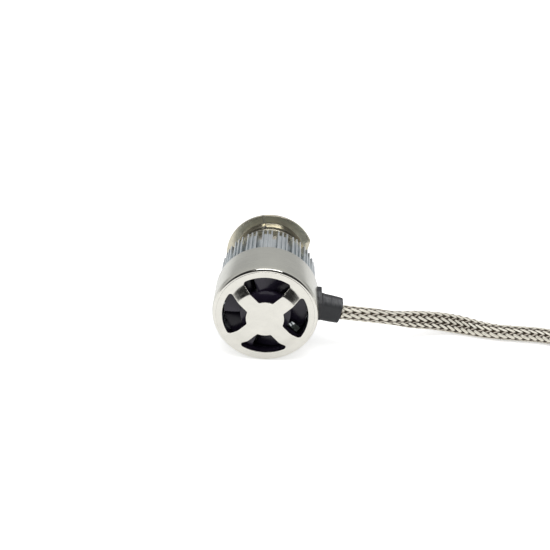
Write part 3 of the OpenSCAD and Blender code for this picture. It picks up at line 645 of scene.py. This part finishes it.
def spline(points, step):
    """Points a fixed step apart on a centripetal Catmull-Rom curve, and its length."""
    pts = [2 * points[0] - points[1], *points, 2 * points[-1] - points[-2]]
    dense = []
    for i in range(1, len(pts) - 2):
        p = pts[i - 1:i + 3]
        t = [0.0]
        for k in range(3):
            t.append(t[-1] + np.linalg.norm(p[k + 1] - p[k]) ** 0.5)
        for u in np.linspace(t[1], t[2], 24, endpoint=False):
            a = [((t[k + 1] - u) * p[k] + (u - t[k]) * p[k + 1]) / (t[k + 1] - t[k]) for k in range(3)]
            b = [((t[k + 2] - u) * a[k] + (u - t[k]) * a[k + 1]) / (t[k + 2] - t[k]) for k in range(2)]
            dense.append(((t[2] - u) * b[0] + (u - t[1]) * b[1]) / (t[2] - t[1]))
    return evened(np.array([*dense, points[-1]]), step)


class CordFrame:
    """Centre, section axes and half widths at each step along the cord."""

    def __init__(self, step=0.4):
        self.centre, self.length = spline(cord_points(), step)
        self.step = self.length / (len(self.centre) - 1)
        along = units(np.gradient(self.centre, axis=0))
        side = units(np.cross(along, [0, 0, 1]))
        up = np.cross(side, along)
        self.where = np.arange(len(along)) * self.step
        # The twist and the widths change on the way to the coil only.
        reach = np.where(self.where < CHANGE_WITHIN, self.centre[:, 0], 1000)
        twist = sum(90 * smooth((reach - start) / (end - start))
                    for start, end in ((TWIST_START, TWIST_MID), (TWIST_MID, TWIST_END)))
        blend = smooth((reach - WIDEN_AT) / WIDEN_OVER)
        self.half_w, self.half_h = ((CORD_EXIT_W + (full - CORD_EXIT_W) * blend) / 2
                                    for full in (CORD_W, CORD_H))
        # The braid turns less than its flat section does.
        spin = BRAID_TURN * np.clip((reach - GLAND_EXIT[0]) / (TWIST_END - GLAND_EXIT[0]), 0, 1)
        self.lag = np.radians(spin - twist)
        c, s = np.cos(np.radians(twist))[:, None], np.sin(np.radians(twist))[:, None]
        self.wide, self.thin = c * side + s * up, -s * side + c * up

    def at(self, where, angle, depth):
        """Points at a distance along, an angle round and a depth under the surface."""
        f = np.clip(where / self.step, 0, len(self.centre) - 1.001)
        i = f.astype(int)
        t = (f - i)[..., None]

        def pick(v):
            u = t if v.ndim == 2 else t[..., 0]
            return v[i] * (1 - u) + v[i + 1] * u

        a, b = pick(self.half_w) - depth, pick(self.half_h) - depth
        angle = angle + pick(self.lag)
        # Strands lie evenly along the girth, not evenly in the ellipse's own angle.
        angle = angle + (a * a - b * b) / (4 * (a * a + b * b)) * np.sin(2 * angle)
        return (pick(self.centre) + (a * np.cos(angle))[..., None] * pick(self.wide)
                + (b * np.sin(angle))[..., None] * pick(self.thin))


# Connector ----

PLUG_LEN, PLUG_W, PLUG_H, NOSE_LEN, NOSE_STEP, TERMINAL_PITCH = 18.0, 12.0, 10.0, 7.0, 1.2, 4.0
PLUG_SIDE = np.array([-PLUG_DIR[1], PLUG_DIR[0], 0.0])
UP = np.array([0.0, 0.0, 1.0])
RIBS, RIB_AT, RIB_STEP = 5, 2.3, 1.45
SOCKET_R, SOCKET_DEPTH = 1.25, 1.9
# The boot's half width and half height at the cord, how much each grows and how fast.
BOOT_WIDE, BOOT_HIGH = (3.85, 0.2, 2.5), (3.1, 0.95, 1.6)
BOOT_LIP, BOOT_LIP_LEN, BOOT_FOLD, BOOT_END_FALL, BOOT_END_AT = 0.12, 0.03, 0.05, 0.35, 0.8


def on_plug(shape, x=0.0, y=0.0, z=0.0):
    """A shape moved into the connector's frame, whose x runs to the mating face."""
    return placed(shape, BOOT_AT + x * PLUG_DIR + y * PLUG_SIDE + z * UP, PLUG_DIR, PLUG_SIDE, UP)


def plug_box(size, radius, x, y=0.0, z=0.0, steps=3):
    """A rounded box on the connector, whose x counts from the boot's end."""
    return on_plug(rounded_box(size, radius, steps), BOOT_LEN + x, y, z)


def make_boot():
    """The shrunk boot, with folds that fade out towards the connector."""
    rings = []
    for x in np.linspace(0, BOOT_LEN, 41):
        t = x / BOOT_LEN
        wide, high = (start + growth * smooth(t * pace) - BOOT_END_FALL * smooth((t - BOOT_END_AT) / 0.2)
                      for start, growth, pace in (BOOT_WIDE, BOOT_HIGH))
        lip = BOOT_LIP if t < BOOT_LIP_LEN else 0.0
        ring = []
        for a in 2 * math.pi * np.arange(48) / 48:
            fold = (BOOT_FOLD * math.sin(9 * a + 3 * math.sin(6 * t))
                    * math.sin(math.pi * min(1, 2.2 * t)) * (1 - t))
            ring.append((x, (wide + fold - lip) * math.cos(a), (high + fold - lip) * math.sin(a)))
        rings.append(ring)
    return piece("shrink_boot", on_plug(loft(rings)), SHRINK, "heat_shrink_boot", sharp=60)


def make_shell():
    """The connector's body, and its nose with two sockets."""
    shell = PLUG_LEN - NOSE_LEN
    w, h = PLUG_W - 2 * NOSE_STEP, PLUG_H - 2 * NOSE_STEP
    parts = [plug_box((shell, PLUG_W - 0.6, PLUG_H - 0.2), 0.7, shell / 2, z=-0.1),
             plug_box((1.2, PLUG_W, PLUG_H), 0.4, shell - 0.6),
             plug_box((1.0, PLUG_W, PLUG_H), 0.4, 0.5),
             plug_box((shell - 3.4, 4.6, 1.2), 0.3, shell / 2, z=PLUG_H / 2 - 0.2),
             plug_box((1.0, 5.0, 1.4), 0.3, shell - 2.6, z=PLUG_H / 2 - 0.3)]
    parts += [plug_box((0.7, 0.6, PLUG_H - 2.6), 0.25, RIB_AT + RIB_STEP * k, s * (PLUG_W / 2 - 0.3), steps=2)
              for s in (-1, 1) for k in range(RIBS)]
    parts += [plug_box((3.6, w, h), 0.5, shell + 0.8),
              plug_box((4.9, w, h - 1.0), 0.5, shell + 2.45, z=0.5)]
    body = piece("connector_body", joined(parts), CONNECTOR, "connector_shell")
    nose = piece("connector_nose", plug_box((2.6, w, h), 0.5, PLUG_LEN - 1.3), None)
    face = BOOT_AT + (BOOT_LEN + PLUG_LEN - SOCKET_DEPTH) * PLUG_DIR
    ends = [face + s * TERMINAL_PITCH / 2 * PLUG_SIDE for s in (-1, 1)]
    cut(nose, *(bored("socket", end, end + 3 * PLUG_DIR, SOCKET_R) for end in ends))
    bevelled(nose, 0.08)
    dress(nose, CONNECTOR)
    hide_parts("connector_shell")
    return [body, nose]


# Braid ----

STRANDS = 14
STRAND_T = 0.34
STRAND_ADVANCE = 2.75
# The braid is drawn out where the lead hangs: from where and up to where, over what lengths, and how much.
DRAWN_FROM, DRAWN_TO, DRAWN_BY = (6.0, 12), (38.0, 16), 0.37
SLOPE = 0.46
WALE_PHASE = 2.3
ACROSS = (-1.0, -0.85, -0.5, 0.0, 0.5, 0.85, 1.0)
# How high each line across a strand stands; lower lines at the edges are also painted darker as shade.
CROWN = (0.0, 0.6, 0.95, 0.9, 0.95, 0.6, 0.0)
CORE_SIDES, CORE_DEPTH = 16, 2.6 * STRAND_T
WAVE_EDGE = 2.2


def make_cord():
    """The braid of crossing strands over a plain core."""
    line = CordFrame()
    n = len(line.centre)
    into, past = (smooth((line.where - at) / over) for at, over in (DRAWN_FROM, DRAWN_TO))
    advance = math.radians(360 / STRANDS) / STRAND_ADVANCE / (1 + DRAWN_BY * (into * (1 - past)))
    turned_by = np.cumsum(advance) * line.step

    verts, faces = [], []
    round_core = 2 * math.pi * np.arange(CORE_SIDES) / CORE_SIDES
    for where in line.where[::4]:
        verts.extend(line.at(np.full(CORE_SIDES, where), round_core, CORE_DEPTH))
    for i in range(0, len(verts) - CORE_SIDES, CORE_SIDES):
        faces += strip(range(i, i + CORE_SIDES), range(i + CORE_SIDES, i + 2 * CORE_SIDES))
    # The core gets no lift, so it is coloured all over in the dark brown of the painted shade.
    shade_by_lift, across, family = [0.0] * len(verts), [0.0] * len(verts), [1.0] * len(verts)

    # Bright strands run one way and lie on top for longer than the ones that cross them, which are painted darker
    # as shade.
    for kind, hand, width, bias in ((0.0, -1, 1.12, 0.42), (1.0, 1, 0.54, -0.42)):
        for strand in range(STRANDS):
            middle = 2 * math.pi * strand / STRANDS + hand * turned_by
            wave = np.cos(STRANDS / 2 * (middle - math.radians(WALE_PHASE))) * (1 if kind == 0 else -1) + bias
            over = 0.5 + 0.5 * np.tanh(WAVE_EDGE * wave) / math.tanh(WAVE_EDGE)
            turn = middle + line.lag
            radius = np.sqrt((line.half_w * np.sin(turn)) ** 2 + (line.half_h * np.cos(turn)) ** 2)
            base = len(verts)
            for u, crown in zip(ACROSS, CROWN):
                shift = u * width / 2
                angle = middle + shift * math.cos(SLOPE) / radius
                where = line.where - hand * shift * math.sin(SLOPE)
                verts.extend(line.at(where, angle, STRAND_T * (2.0 - over - crown)))
                # Painted shade: the lower a strand lies and the nearer its edge, the darker it is coloured.
                shade_by_lift.extend(over * (0.35 + 0.65 * crown))
                across.extend([u] * n)
                family.extend([kind] * n)
            for j in range(len(ACROSS) - 1):
                a, b = base + j * n, base + (j + 1) * n
                faces.extend([(a + i, a + i + 1, b + i + 1, b + i) for i in range(n - 1)])

    obj = loose("braided_cord", (verts, faces))
    for name, values in (("shade_by_lift", shade_by_lift), ("across", across), ("family", family)):
        layer = obj.data.attributes.new(name, "FLOAT", "POINT")
        layer.data.foreach_set("value", np.asarray(values, dtype=np.float32))
    obj.data.shade_smooth()
    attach(obj, "lamp")
    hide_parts("cord_run", "cord_coil")
    dress(obj, BRAID)
    make_boot()
    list(make_shell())


make_cord()

# Fan guard ----

GUARD_T, GUARD_EDGE_R = 0.5, 0.1
FLAT_R, FOOT_R, BEND_R = 10.5, 13.8, 2.4
WINDOW_R, DISC_R, SPOKE_HALF = 14.5, 6.4, 2.65
OUTER_CORNER, INNER_CORNER = 1.0, 0.5
PRESSED_R = 0.12
RIM_R = GUARD_R - 0.22
# Rings of mesh points on the guard, closest together where it bends: start, end and step.
MESH_RINGS = ((0.8, 9.7, 0.7), (9.8, 11.3, 0.16), (11.5, 13.2, 0.35), (13.3, 14.4, 0.16))


def guard_height(radius):
    """Y of the guard's pressed front at a radius."""
    line = fillet([(0, GUARD_CROWN), (FLAT_R, GUARD_CROWN), (FOOT_R, GUARD_FACE), (RIM_R, GUARD_FACE)],
                  [0, BEND_R, BEND_R, 0], steps=8)
    return np.interp(radius, *zip(*line))


def window_outline(step=0.22):
    """Closed outline, evenly stepped, of the guard window that is centred on +X."""
    outer = 45 - math.degrees(math.asin((SPOKE_HALF + OUTER_CORNER) / (WINDOW_R - OUTER_CORNER)))
    inner = 45 - math.degrees(math.asin((SPOKE_HALF + INNER_CORNER) / (DISC_R + INNER_CORNER)))
    half = [WINDOW_R * heading(outer * i / 24) for i in range(25)]
    half += [(WINDOW_R - OUTER_CORNER) * heading(outer) + OUTER_CORNER * heading(outer + (135 - outer) * i / 8)
             for i in range(1, 9)]
    half += [(DISC_R + INNER_CORNER) * heading(inner) + INNER_CORNER * heading(135 + (inner + 45) * i / 5)
             for i in range(6)]
    half += [DISC_R * heading(inner * (1 - i / 8)) for i in range(1, 9)]
    return evened(np.array(half + [(p[0], -p[1]) for p in reversed(half[1:-1])] + half[:1]), step)[0][:-1]


def grown(loop, distance):
    """An outline moved outwards."""
    along = units(np.roll(loop, -1, axis=0) - np.roll(loop, 1, axis=0))
    return loop + distance * np.stack([along[:, 1], -along[:, 0]], axis=1)


def inside(points, loop):
    """Which points lie inside an outline."""
    x, y = points[:, 0][:, None], points[:, 1][:, None]
    a, b = loop, np.roll(loop, -1, axis=0)
    spans = (a[:, 1] > y) != (b[:, 1] > y)
    cross_x = (b[:, 0] - a[:, 0]) * (y - a[:, 1]) / (b[:, 1] - a[:, 1] + 1e-12) + a[:, 0]
    return (spans & (x < cross_x)).sum(axis=1) % 2 == 1


def guard_mesh(rim, holes):
    """Flat points of the guard and its faces, and the points of the rim's and the holes' outlines."""
    last = (14.6, RIM_R - GUARD_EDGE_R - 0.15, 0.3)
    radii = np.concatenate([np.arange(*span) for span in (*MESH_RINGS, last)])
    fill = np.array([r * heading(360 * (i + 0.5 * (k % 2)) / n) for k, r in enumerate(radii)
                     for n in [max(8, int(2 * math.pi * r / 0.4))] for i in range(n)])
    for hole in holes:
        fill = fill[~inside(fill, grown(hole, 0.14))]
    loops, points = [], []
    for loop in [rim, *holes]:
        loops.append(range(len(points), len(points) + len(loop)))
        points.extend(loop.tolist())
    edges = [(loop[k], loop[(k + 1) % len(loop)]) for loop in loops for k in range(len(loop))]
    made = delaunay_2d_cdt([Vector(p) for p in [*points, *fill.tolist()]], edges, [], 0, 1e-6)
    flat = np.array([tuple(p) for p in made[0]])
    where = {source: i for i, sources in enumerate(made[3]) for source in sources}
    middles = np.array([flat[list(f)].mean(axis=0) for f in made[2]])
    keep = ~np.any([inside(middles, hole) for hole in holes], axis=0)
    return flat, [tuple(f) for f, k in zip(made[2], keep) if k], [[where[i] for i in loop] for loop in loops]


def make_guard():
    """The pressed sheet: its front, its back and the rounded edges between them."""
    edge = RIM_R - GUARD_EDGE_R
    outline = window_outline()
    windows = [outline @ np.array([heading(90 * k), heading(90 * k + 90)]) for k in range(4)]
    rim = np.array([edge * heading(1.5 * i) for i in range(240)])
    flat, faces, loops = guard_mesh(rim, [grown(w, PRESSED_R) for w in windows])
    n = len(flat)
    height = guard_height(np.linalg.norm(flat, axis=1))
    verts = [(x, y + deep, z) for deep in (0, GUARD_T) for (x, z), y in zip(flat, height)]
    faces += [tuple(n + i for i in reversed(f)) for f in faces]

    def wall(loop, rows):
        """Faces from a loop of the front over rows of points to the same loop of the back."""
        last = loop
        for row in rows:
            new = range(len(verts), len(verts) + len(row))
            verts.extend(row)
            faces.extend(strip(last, new))
            last = new
        faces.extend(strip(last, [n + i for i in loop]))

    rounding = [(math.sin(a), 1 - math.cos(a)) for a in np.linspace(0, math.pi / 2, 5)[1:]]
    steps = [(PRESSED_R * (1 - out), PRESSED_R * down) for out, down in rounding] + [(0.0, GUARD_T)]
    for loop, window in zip(loops[1:], windows):
        rings = [(grown(window, offset), drop) for offset, drop in steps]
        wall(loop, [[(x, y, z) for (x, z), y in zip(ring, guard_height(np.linalg.norm(ring, axis=1)) + drop)]
                    for ring, drop in rings])
    profile = [(edge + GUARD_EDGE_R * math.sin(a), GUARD_FACE + GUARD_EDGE_R * (1 - math.cos(a)))
               for a in np.linspace(0, math.pi / 2, 9)[1:]]
    profile += [(RIM_R, FAN_FRONT), (RIM_R - GUARD_T, FAN_FRONT), (RIM_R - GUARD_T, GUARD_FACE + GUARD_T)]
    wall(loops[0], [[(x * r / edge, y, z * r / edge) for x, z in rim] for r, y in profile])
    piece("pressed_guard", (verts, faces), CHROME, "fan_guard", sharp=50)


# Sleeve, heat sink, neck and collar ----

FRONT_BORE_R, REAR_BORE_R = GUARD_R + 0.05, BODY_R - 2.0
LIP_R, LIP_TURN, LIP_DEPTH, SHOULDER_R = 1.1, 72.0, 0.5, 3.0


def make_sleeve():
    """The sleeve and, of brighter metal, the rounding in front that runs on from the guard."""
    turn, start, floor = math.radians(LIP_TURN), RIM_R + 0.02, SLEEVE_FRONT + LIP_DEPTH
    lip = [(start + LIP_R * math.sin(a), SLEEVE_FRONT + LIP_R * (1 - math.cos(a)))
           for a in np.linspace(0, turn, 17)]
    end_r, behind = lip[-1]
    lip += [(FRONT_BORE_R, behind), (FRONT_BORE_R, floor), (start, floor)]
    shoulder = behind + (BODY_R - end_r) * math.tan(turn)
    profile = fillet([(FRONT_BORE_R, behind), (end_r, behind), (BODY_R, shoulder), (BODY_R, SLEEVE_BACK),
                      (REAR_BORE_R, SLEEVE_BACK), (REAR_BORE_R, FAN_BACK), (FRONT_BORE_R, FAN_BACK)],
                     [0, 0, SHOULDER_R, 0.28, 0.15, 0, 0], closed=True)
    piece("sleeve_lip", lathe(lip, 300), LIP, "housing_sleeve")
    piece("sleeve", lathe(profile, 240), SLEEVE, "housing_sleeve")


WEB_R, SLOT_FLOOR_R, CORE_R = 16.0, 13.6, 8.0
FIN_GROUPS, GROUP_FINS, FIN_T, FIN_STEP, GROUP_AT = 19, 3, 0.55, 5.4, 94.0
WEB_SHORT, WEB_CHAMFER, FLOOR_CHAMFER = 1.0, 0.2, 0.12


def make_heat_sink():
    floor, back = SLOT_FLOOR_R, SINK_BACK
    parts = [lathe([(CORE_R, SINK_FRONT), (floor, SINK_FRONT), (floor, back - FLOOR_CHAMFER),
                    (floor - FLOOR_CHAMFER, back), (CORE_R, back)], 144)]
    start, root = SLEEVE_BACK + 0.03, floor - 1
    length = back - start
    half = FIN_STEP * (GROUP_FINS - 1) / 2
    ends = ((SINK_FRONT, 0), (back - WEB_SHORT - WEB_CHAMFER, 0), (back - WEB_SHORT, WEB_CHAMFER))
    for g in range(FIN_GROUPS):
        middle = GROUP_AT - 360 / FIN_GROUPS * g
        for f in range(GROUP_FINS):
            out, axial, side = radial(middle + FIN_STEP * f - half)
            at = out * (FIN_R + root) / 2 + np.array([0, start + length / 2, 0])
            parts.append(placed(rounded_box((length, FIN_R - root, FIN_T), 0.09, 2), at, axial, out, side))
        angles = np.radians(np.linspace(middle - half, middle + half, 9))
        parts.append(loft([[(r * math.cos(a), y, r * math.sin(a)) for r, a in
                            [(root, angles[0]), (root, angles[-1]), *((WEB_R - inset, a) for a in angles[::-1])]]
                           for y, inset in ends]))
    piece("finned_sink", joined(parts), FIN, "heat_sink")


WIRE_BORE_R, RING_GROOVE_DEPTH = 1.6, 0.6
RING_GROOVE = (SPIGOT_BACK + 0.05, SPIGOT_BACK + 0.9)


def make_neck():
    floor, shoulder = NECK_R - RING_GROOVE_DEPTH, SINK_BACK + 0.01
    profile = fillet([(WIRE_BORE_R, CORE_FRONT), (CORE_R, CORE_FRONT), (CORE_R, shoulder), (NECK_R, shoulder),
                      (NECK_R, RING_GROOVE[0]), (floor, RING_GROOVE[0]), (floor, RING_GROOVE[1]),
                      (NECK_R, RING_GROOVE[1]), (NECK_R, NECK_BACK), (WIRE_BORE_R, NECK_BACK)],
                     [0, 0, 0, 0.25, 0, 0, 0, 0, 0.15, 0], closed=True, steps=4)
    piece("neck", lathe(profile, 200), BRASS, "thermal_core")


FLANGE_FRONT = -1.2
HUB_R, SPIGOT_R, NOTCH_HALF, NOTCH_DEPTH, NOTCH_FLOOR_HALF = NECK_R + 2.0, NECK_R + 1.5, 7.1, 2.8, 1.5
HUB_SLOPE, HUB_CONE = 0.32, 1.6
GROOVES, GROOVE_AT, GROOVE_STEP, GROOVE_DEPTH = 3, 0.45, 0.65, 0.2
SEAL_MID_R, SEAL_HALF, SEAL_DEPTH = (HUB_R + COLLAR_R) / 2, 0.7, 0.55
SLOT_ANGLE, SLOT_W, SLOT_DEPTH, SCREW_R = 102.0, 1.0, 0.6, 0.8


def make_collar():
    """The grooved hub, the flange with its notch and slot, and the spigot."""
    bore, front = NECK_R + 0.05, HUB_R - HUB_SLOPE
    seal_out, seal_in = SEAL_MID_R + SEAL_HALF, SEAL_MID_R - SEAL_HALF
    grooves = [(front - deep, COLLAR_FRONT + GROOVE_AT + GROOVE_STEP * k + y) for k in range(GROOVES)
               for deep, y in ((0, 0), (GROOVE_DEPTH, 0.07), (GROOVE_DEPTH, 0.2), (0, 0.27))]
    corners = [(bore, COLLAR_FRONT), (front, COLLAR_FRONT), *grooves, (front, FLANGE_FRONT - HUB_CONE),
               (HUB_R + HUB_SLOPE, FLANGE_FRONT), (COLLAR_R, FLANGE_FRONT), (COLLAR_R, 0), (seal_out, 0),
               (seal_out, -SEAL_DEPTH), (seal_in, -SEAL_DEPTH), (seal_in, 0), (SPIGOT_R, 0),
               (SPIGOT_R, SPIGOT_BACK), (bore, SPIGOT_BACK)]
    radii = [0.12, 0.45, *[0.03] * len(grooves), 0.1, 0.15, 0.22, 0.2, 0.05, 0, 0, 0.05, 0.12, 0.25, 0.12]
    collar = piece("collar", lathe(fillet(corners, radii, closed=True, steps=4), 256), None,
                   "locking_collar", "collar")
    side = math.sqrt(COLLAR_R ** 2 - NOTCH_HALF ** 2)
    half_notch = [(COLLAR_R - NOTCH_DEPTH, NOTCH_FLOOR_HALF), (side, NOTCH_HALF), (COLLAR_R + 1, NOTCH_HALF)]
    outline = half_notch + [(x, -z) for x, z in reversed(half_notch)]
    notch = loft([[(x, y, z) for x, z in outline] for y in (FLANGE_FRONT - 1, 1)])
    slot = placed(block((HUB_R + 0.1, FLANGE_FRONT - 1, -SLOT_W / 2),
                        (COLLAR_R + 1, FLANGE_FRONT + SLOT_DEPTH, SLOT_W / 2)), 0, *radial(SLOT_ANGLE))
    out = radial(SLOT_ANGLE)[0]
    middle = np.array([0, (COLLAR_FRONT + FLANGE_FRONT) / 2, 0])
    cut(collar, helper("notch", notch), helper("slot", slot),
        bored("screw_hole", middle + out * (HUB_R - 2.5), middle + out * (HUB_R + 1), SCREW_R + 0.05))
    bevelled(collar, 0.07)
    dress(collar, COLLAR)


# Fan ----

FAN_HUB_R, BLADE_TIP_R, HUB_WALL = 8.6, 14.0, 0.75
BLADES, BLADE_T, BLADE_SPAN, BLADE_AT, BLADE_SINK = 5, 0.7, 63.0, 79.0, 0.35


def blade(angle, n=20):
    """One broad curved blade, from inside the hub's wall to the tip, its front edge at the larger angle."""
    front, back = HUB_FRONT + 0.6, HUB_BACK - 0.2
    rings = []
    for u in np.linspace(0, 1, 9):
        radius = FAN_HUB_R - BLADE_SINK + (BLADE_TIP_R - FAN_HUB_R + BLADE_SINK) * u
        half, thick = BLADE_SPAN / 2 + 2 * u, BLADE_T * (1 - 0.25 * u)
        ring = []
        for side, ws in ((-1, np.linspace(0, 1, n)), (1, np.linspace(1, 0, n))):
            for w in ws:
                body = thick / 2 * (1 - (2 * w - 1) ** 8) ** 0.5
                fall = 0.8 * w + 0.2 * w * w
                y = front + thick / 2 + (back - front - thick) * fall + side * body
                a = math.radians(angle + half * (1 - 2 * w) - 3 * u)
                ring.append((radius * math.cos(a), y, radius * math.sin(a)))
        rings.append(ring)
    return loft(rings)


def make_impeller():
    disc, wall, inner = HUB_FRONT + 0.12, FAN_HUB_R - HUB_WALL, HUB_FRONT + 0.9
    profile = fillet([(0, disc), (2.2, disc), (2.5, HUB_FRONT), (FAN_HUB_R, HUB_FRONT), (FAN_HUB_R, HUB_BACK),
                      (wall, HUB_BACK), (wall, inner), (0, inner)], [0, 0.1, 0.1, 0.35, 0.1, 0, 0.1, 0])
    parts = [lathe(profile, 144, closed=False), *(blade(BLADE_AT + 360 / BLADES * k) for k in range(BLADES))]
    piece("fan_rotor", joined(parts), FAN_BLACK, "impeller", "rotor", 40)


# Gland ----

GLAND_W, GLAND_H, GLAND_TAPER, GLAND_RISE, GLAND_CORNER = 6.7, 8.8, 0.35, 1.45, 2.2
PLATE_W, PLATE_H, PLATE_T, PLATE_CORNER, PLATE_RISE = 7.8, 9.8, 0.9, 1.0, 0.9
# Distances from the plate's face and insets that round its edge.
PLATE_EDGE = ((-0.3, 0), (-0.18, 0.04), (-0.08, 0.11), (-0.02, 0.2), (0, 0.32))


def make_gland():
    """The plate on the sleeve and the boot on it, hollowed where the cord comes out."""
    down, side = np.cross([0, 1, 0], GLAND_DIR), np.array([0.0, 1.0, 0.0])
    plate = [[(x, PORT[1] + 0.2 + u, PORT[2] + GLAND_RISE + PLATE_RISE + v) for u, v in
              rounded_rect(PLATE_W / 2 - inset, PLATE_H / 2 - inset, PLATE_CORNER - inset, 6)]
             for x, inset in ((BODY_R - 1.2, 0), *((BODY_R + PLATE_T + s, inset) for s, inset in PLATE_EDGE))]
    rings = []
    # Distances along the gland and how much it is thicker there than its straight taper.
    stations = [(0.2, 0.1), (PLATE_T, 0.1), (PLATE_T + 0.12, 0.03), (PLATE_T + 0.35, 0.0)]
    stations += [(s, 0.06 * math.sin(math.pi * (s - 1.4) / 5.6)) for s in np.linspace(1.8, 7.0, 10)]
    stations += [(7.3, -0.03), (7.5, -0.12), (7.62, -0.26), (7.7, -0.45)]
    for s, grow in stations:
        t = GLAND_TAPER / 2 * s / GLAND_LEN
        outline = rounded_rect(GLAND_W / 2 - t + grow, GLAND_H / 2 - t + grow, GLAND_CORNER + grow, 8)
        middle = PORT + s * GLAND_DIR - GLAND_RISE * down
        rings.append([middle + u * side + v * down for u, v in outline])
    angles = [math.atan2(v, u) for u, v in outline]
    for s, radius in ((7.97, 2.62), (7.8, 2.45), (6.6, 2.4)):
        middle = PORT + s / float(CABLE_DIR @ GLAND_DIR) * CABLE_DIR
        rings.append([middle + radius * (math.cos(a) * side + math.sin(a) * down) for a in angles])
    piece("gland", joined([loft(plate), loft(rings)]), RUBBER, "cable_gland", sharp=50)


# LED head ----

GLASS_WALL = 0.7


def make_glass():
    bore, crown = GLASS_R - GLASS_WALL, GLASS_BACK - GLASS_WALL
    outer = fillet([(GLASS_R, GLASS_FRONT), (GLASS_R, GLASS_BACK), (0, GLASS_BACK)], [0, 2.2, 0], steps=10)
    inner = fillet([(0, crown), (bore, crown), (bore, GLASS_FRONT)], [0, 1.5, 0], steps=10)
    piece("glass_dome", lathe(outer + inner, 96), GLASS, "glass_cover", sharp=60)


make_guard()
make_sleeve()
make_heat_sink()
make_neck()
make_collar()
make_impeller()
make_gland()
make_glass()

# Light and floor ----

FLOOR_HALF, FLOOR_T, FLOOR_GAP = 3000, 5, 0.02
# How much the floor glows to two kinds of ray.
FLOOR_GLOW = (("Is Camera Ray", 0.5), ("Is Glossy Ray", 0.20))


def make_floor():
    """White paper, which glows a little so that it shows no grey."""
    low = FLOOR - FLOOR_GAP
    floor = loose("floor", block((-FLOOR_HALF, -FLOOR_HALF, low - FLOOR_T), (FLOOR_HALF, FLOOR_HALF, low)))
    look = Look("floor_paper", rough=0.9, specular=0.1)
    look.colour(look.mixed(look.noise(8), (0.93, 0.93, 0.93), (0.95, 0.95, 0.95)))
    path = look.node("LightPath").outputs
    glow = look.calc("ADD", *(look.calc("MULTIPLY", path[kind], share) for kind, share in FLOOR_GLOW))
    seen = look.node("Emission", {"Color": (1, 1, 1), "Strength": glow})
    both = look.node("AddShader", {0: look.shader.outputs[0], 1: seen.outputs[0]})
    look.feed(look.out.inputs["Surface"], both.outputs[0])
    dress(floor, look.material)


def make_light(name, place, target, size, power):
    data = bpy.data.lights.new(name, "AREA")
    data.shape, data.energy = "RECTANGLE", power
    data.size, data.size_y = (side * MM for side in size)
    light = linked(name, data)
    light.location = Vector(place) * MM
    light.rotation_mode = "QUATERNION"
    light.rotation_quaternion = (Vector(target) - Vector(place)).to_track_quat("-Z", "Y")


# How bright the studio is at heights from the horizon to straight up.
STUDIO = ((0.0, 0.50), (0.25, 0.56), (0.47, 0.64), (0.75, 0.64), (0.95, 0.84))
# The unlit part of the studio, round the camera: its middle, the cosines between which it
# fades in, the heights between which it starts and the share of light that is left there.
DARK_TOWARD, DARK_FADE, DARK_RISE, DARK_LEFT = (0.0, -0.85, 0.53), (0.12, 0.62), (-0.02, 0.10), 0.03


def make_world():
    """White to the camera; to all else a softly graded studio, unlit round the camera."""
    world = bpy.data.worlds.new("studio")
    world.use_nodes = True
    nodes = Nodes(world.node_tree)
    way = nodes.node("TexCoord").outputs["Generated"]
    height = nodes.axes(way)[2]
    ramp = nodes.node("ValToRGB", {0: height})
    while len(ramp.color_ramp.elements) < len(STUDIO):
        ramp.color_ramp.elements.new(0.5)
    for element, (at, level) in zip(ramp.color_ramp.elements, STUDIO):
        element.position = at
        element.color = (level, level, level * 1.01, 1)
    # Only reflections find it unlit: the light on matt things comes evenly from all round.
    path = nodes.node("LightPath").outputs
    fades = [nodes.ranged(value, 0, 1, *span, interpolation_type="SMOOTHSTEP")
             for value, span in ((nodes.dot(way, DARK_TOWARD), DARK_FADE), (height, DARK_RISE))]
    unlit = nodes.calc("MULTIPLY", nodes.calc("MULTIPLY", *fades), path["Is Glossy Ray"])
    left = nodes.ranged(unlit, 1, DARK_LEFT, 0, 1)
    light = nodes.node("MixRGB", {0: 1, 1: ramp.outputs[0], 2: left}, blend_type="MULTIPLY")
    around = nodes.node("Background", {"Color": light.outputs[0], "Strength": 1})
    seen = nodes.node("Background", {"Color": (1, 1, 1)})
    clear = nodes.calc("MAXIMUM", path["Is Camera Ray"], path["Is Transmission Ray"])
    mix = nodes.node("MixShader", {0: clear, 1: around.outputs[0], 2: seen.outputs[0]})
    nodes.node("OutputWorld", {"Surface": mix.outputs[0]})
    bpy.context.scene.world = world


make_floor()
make_world()
make_light("key", (20, -235, 640), (0, -30, 0), (500, 240), 1.45)
bpy.context.scene.view_settings.view_transform = "Standard"
bpy.context.scene.view_settings.look = "None"
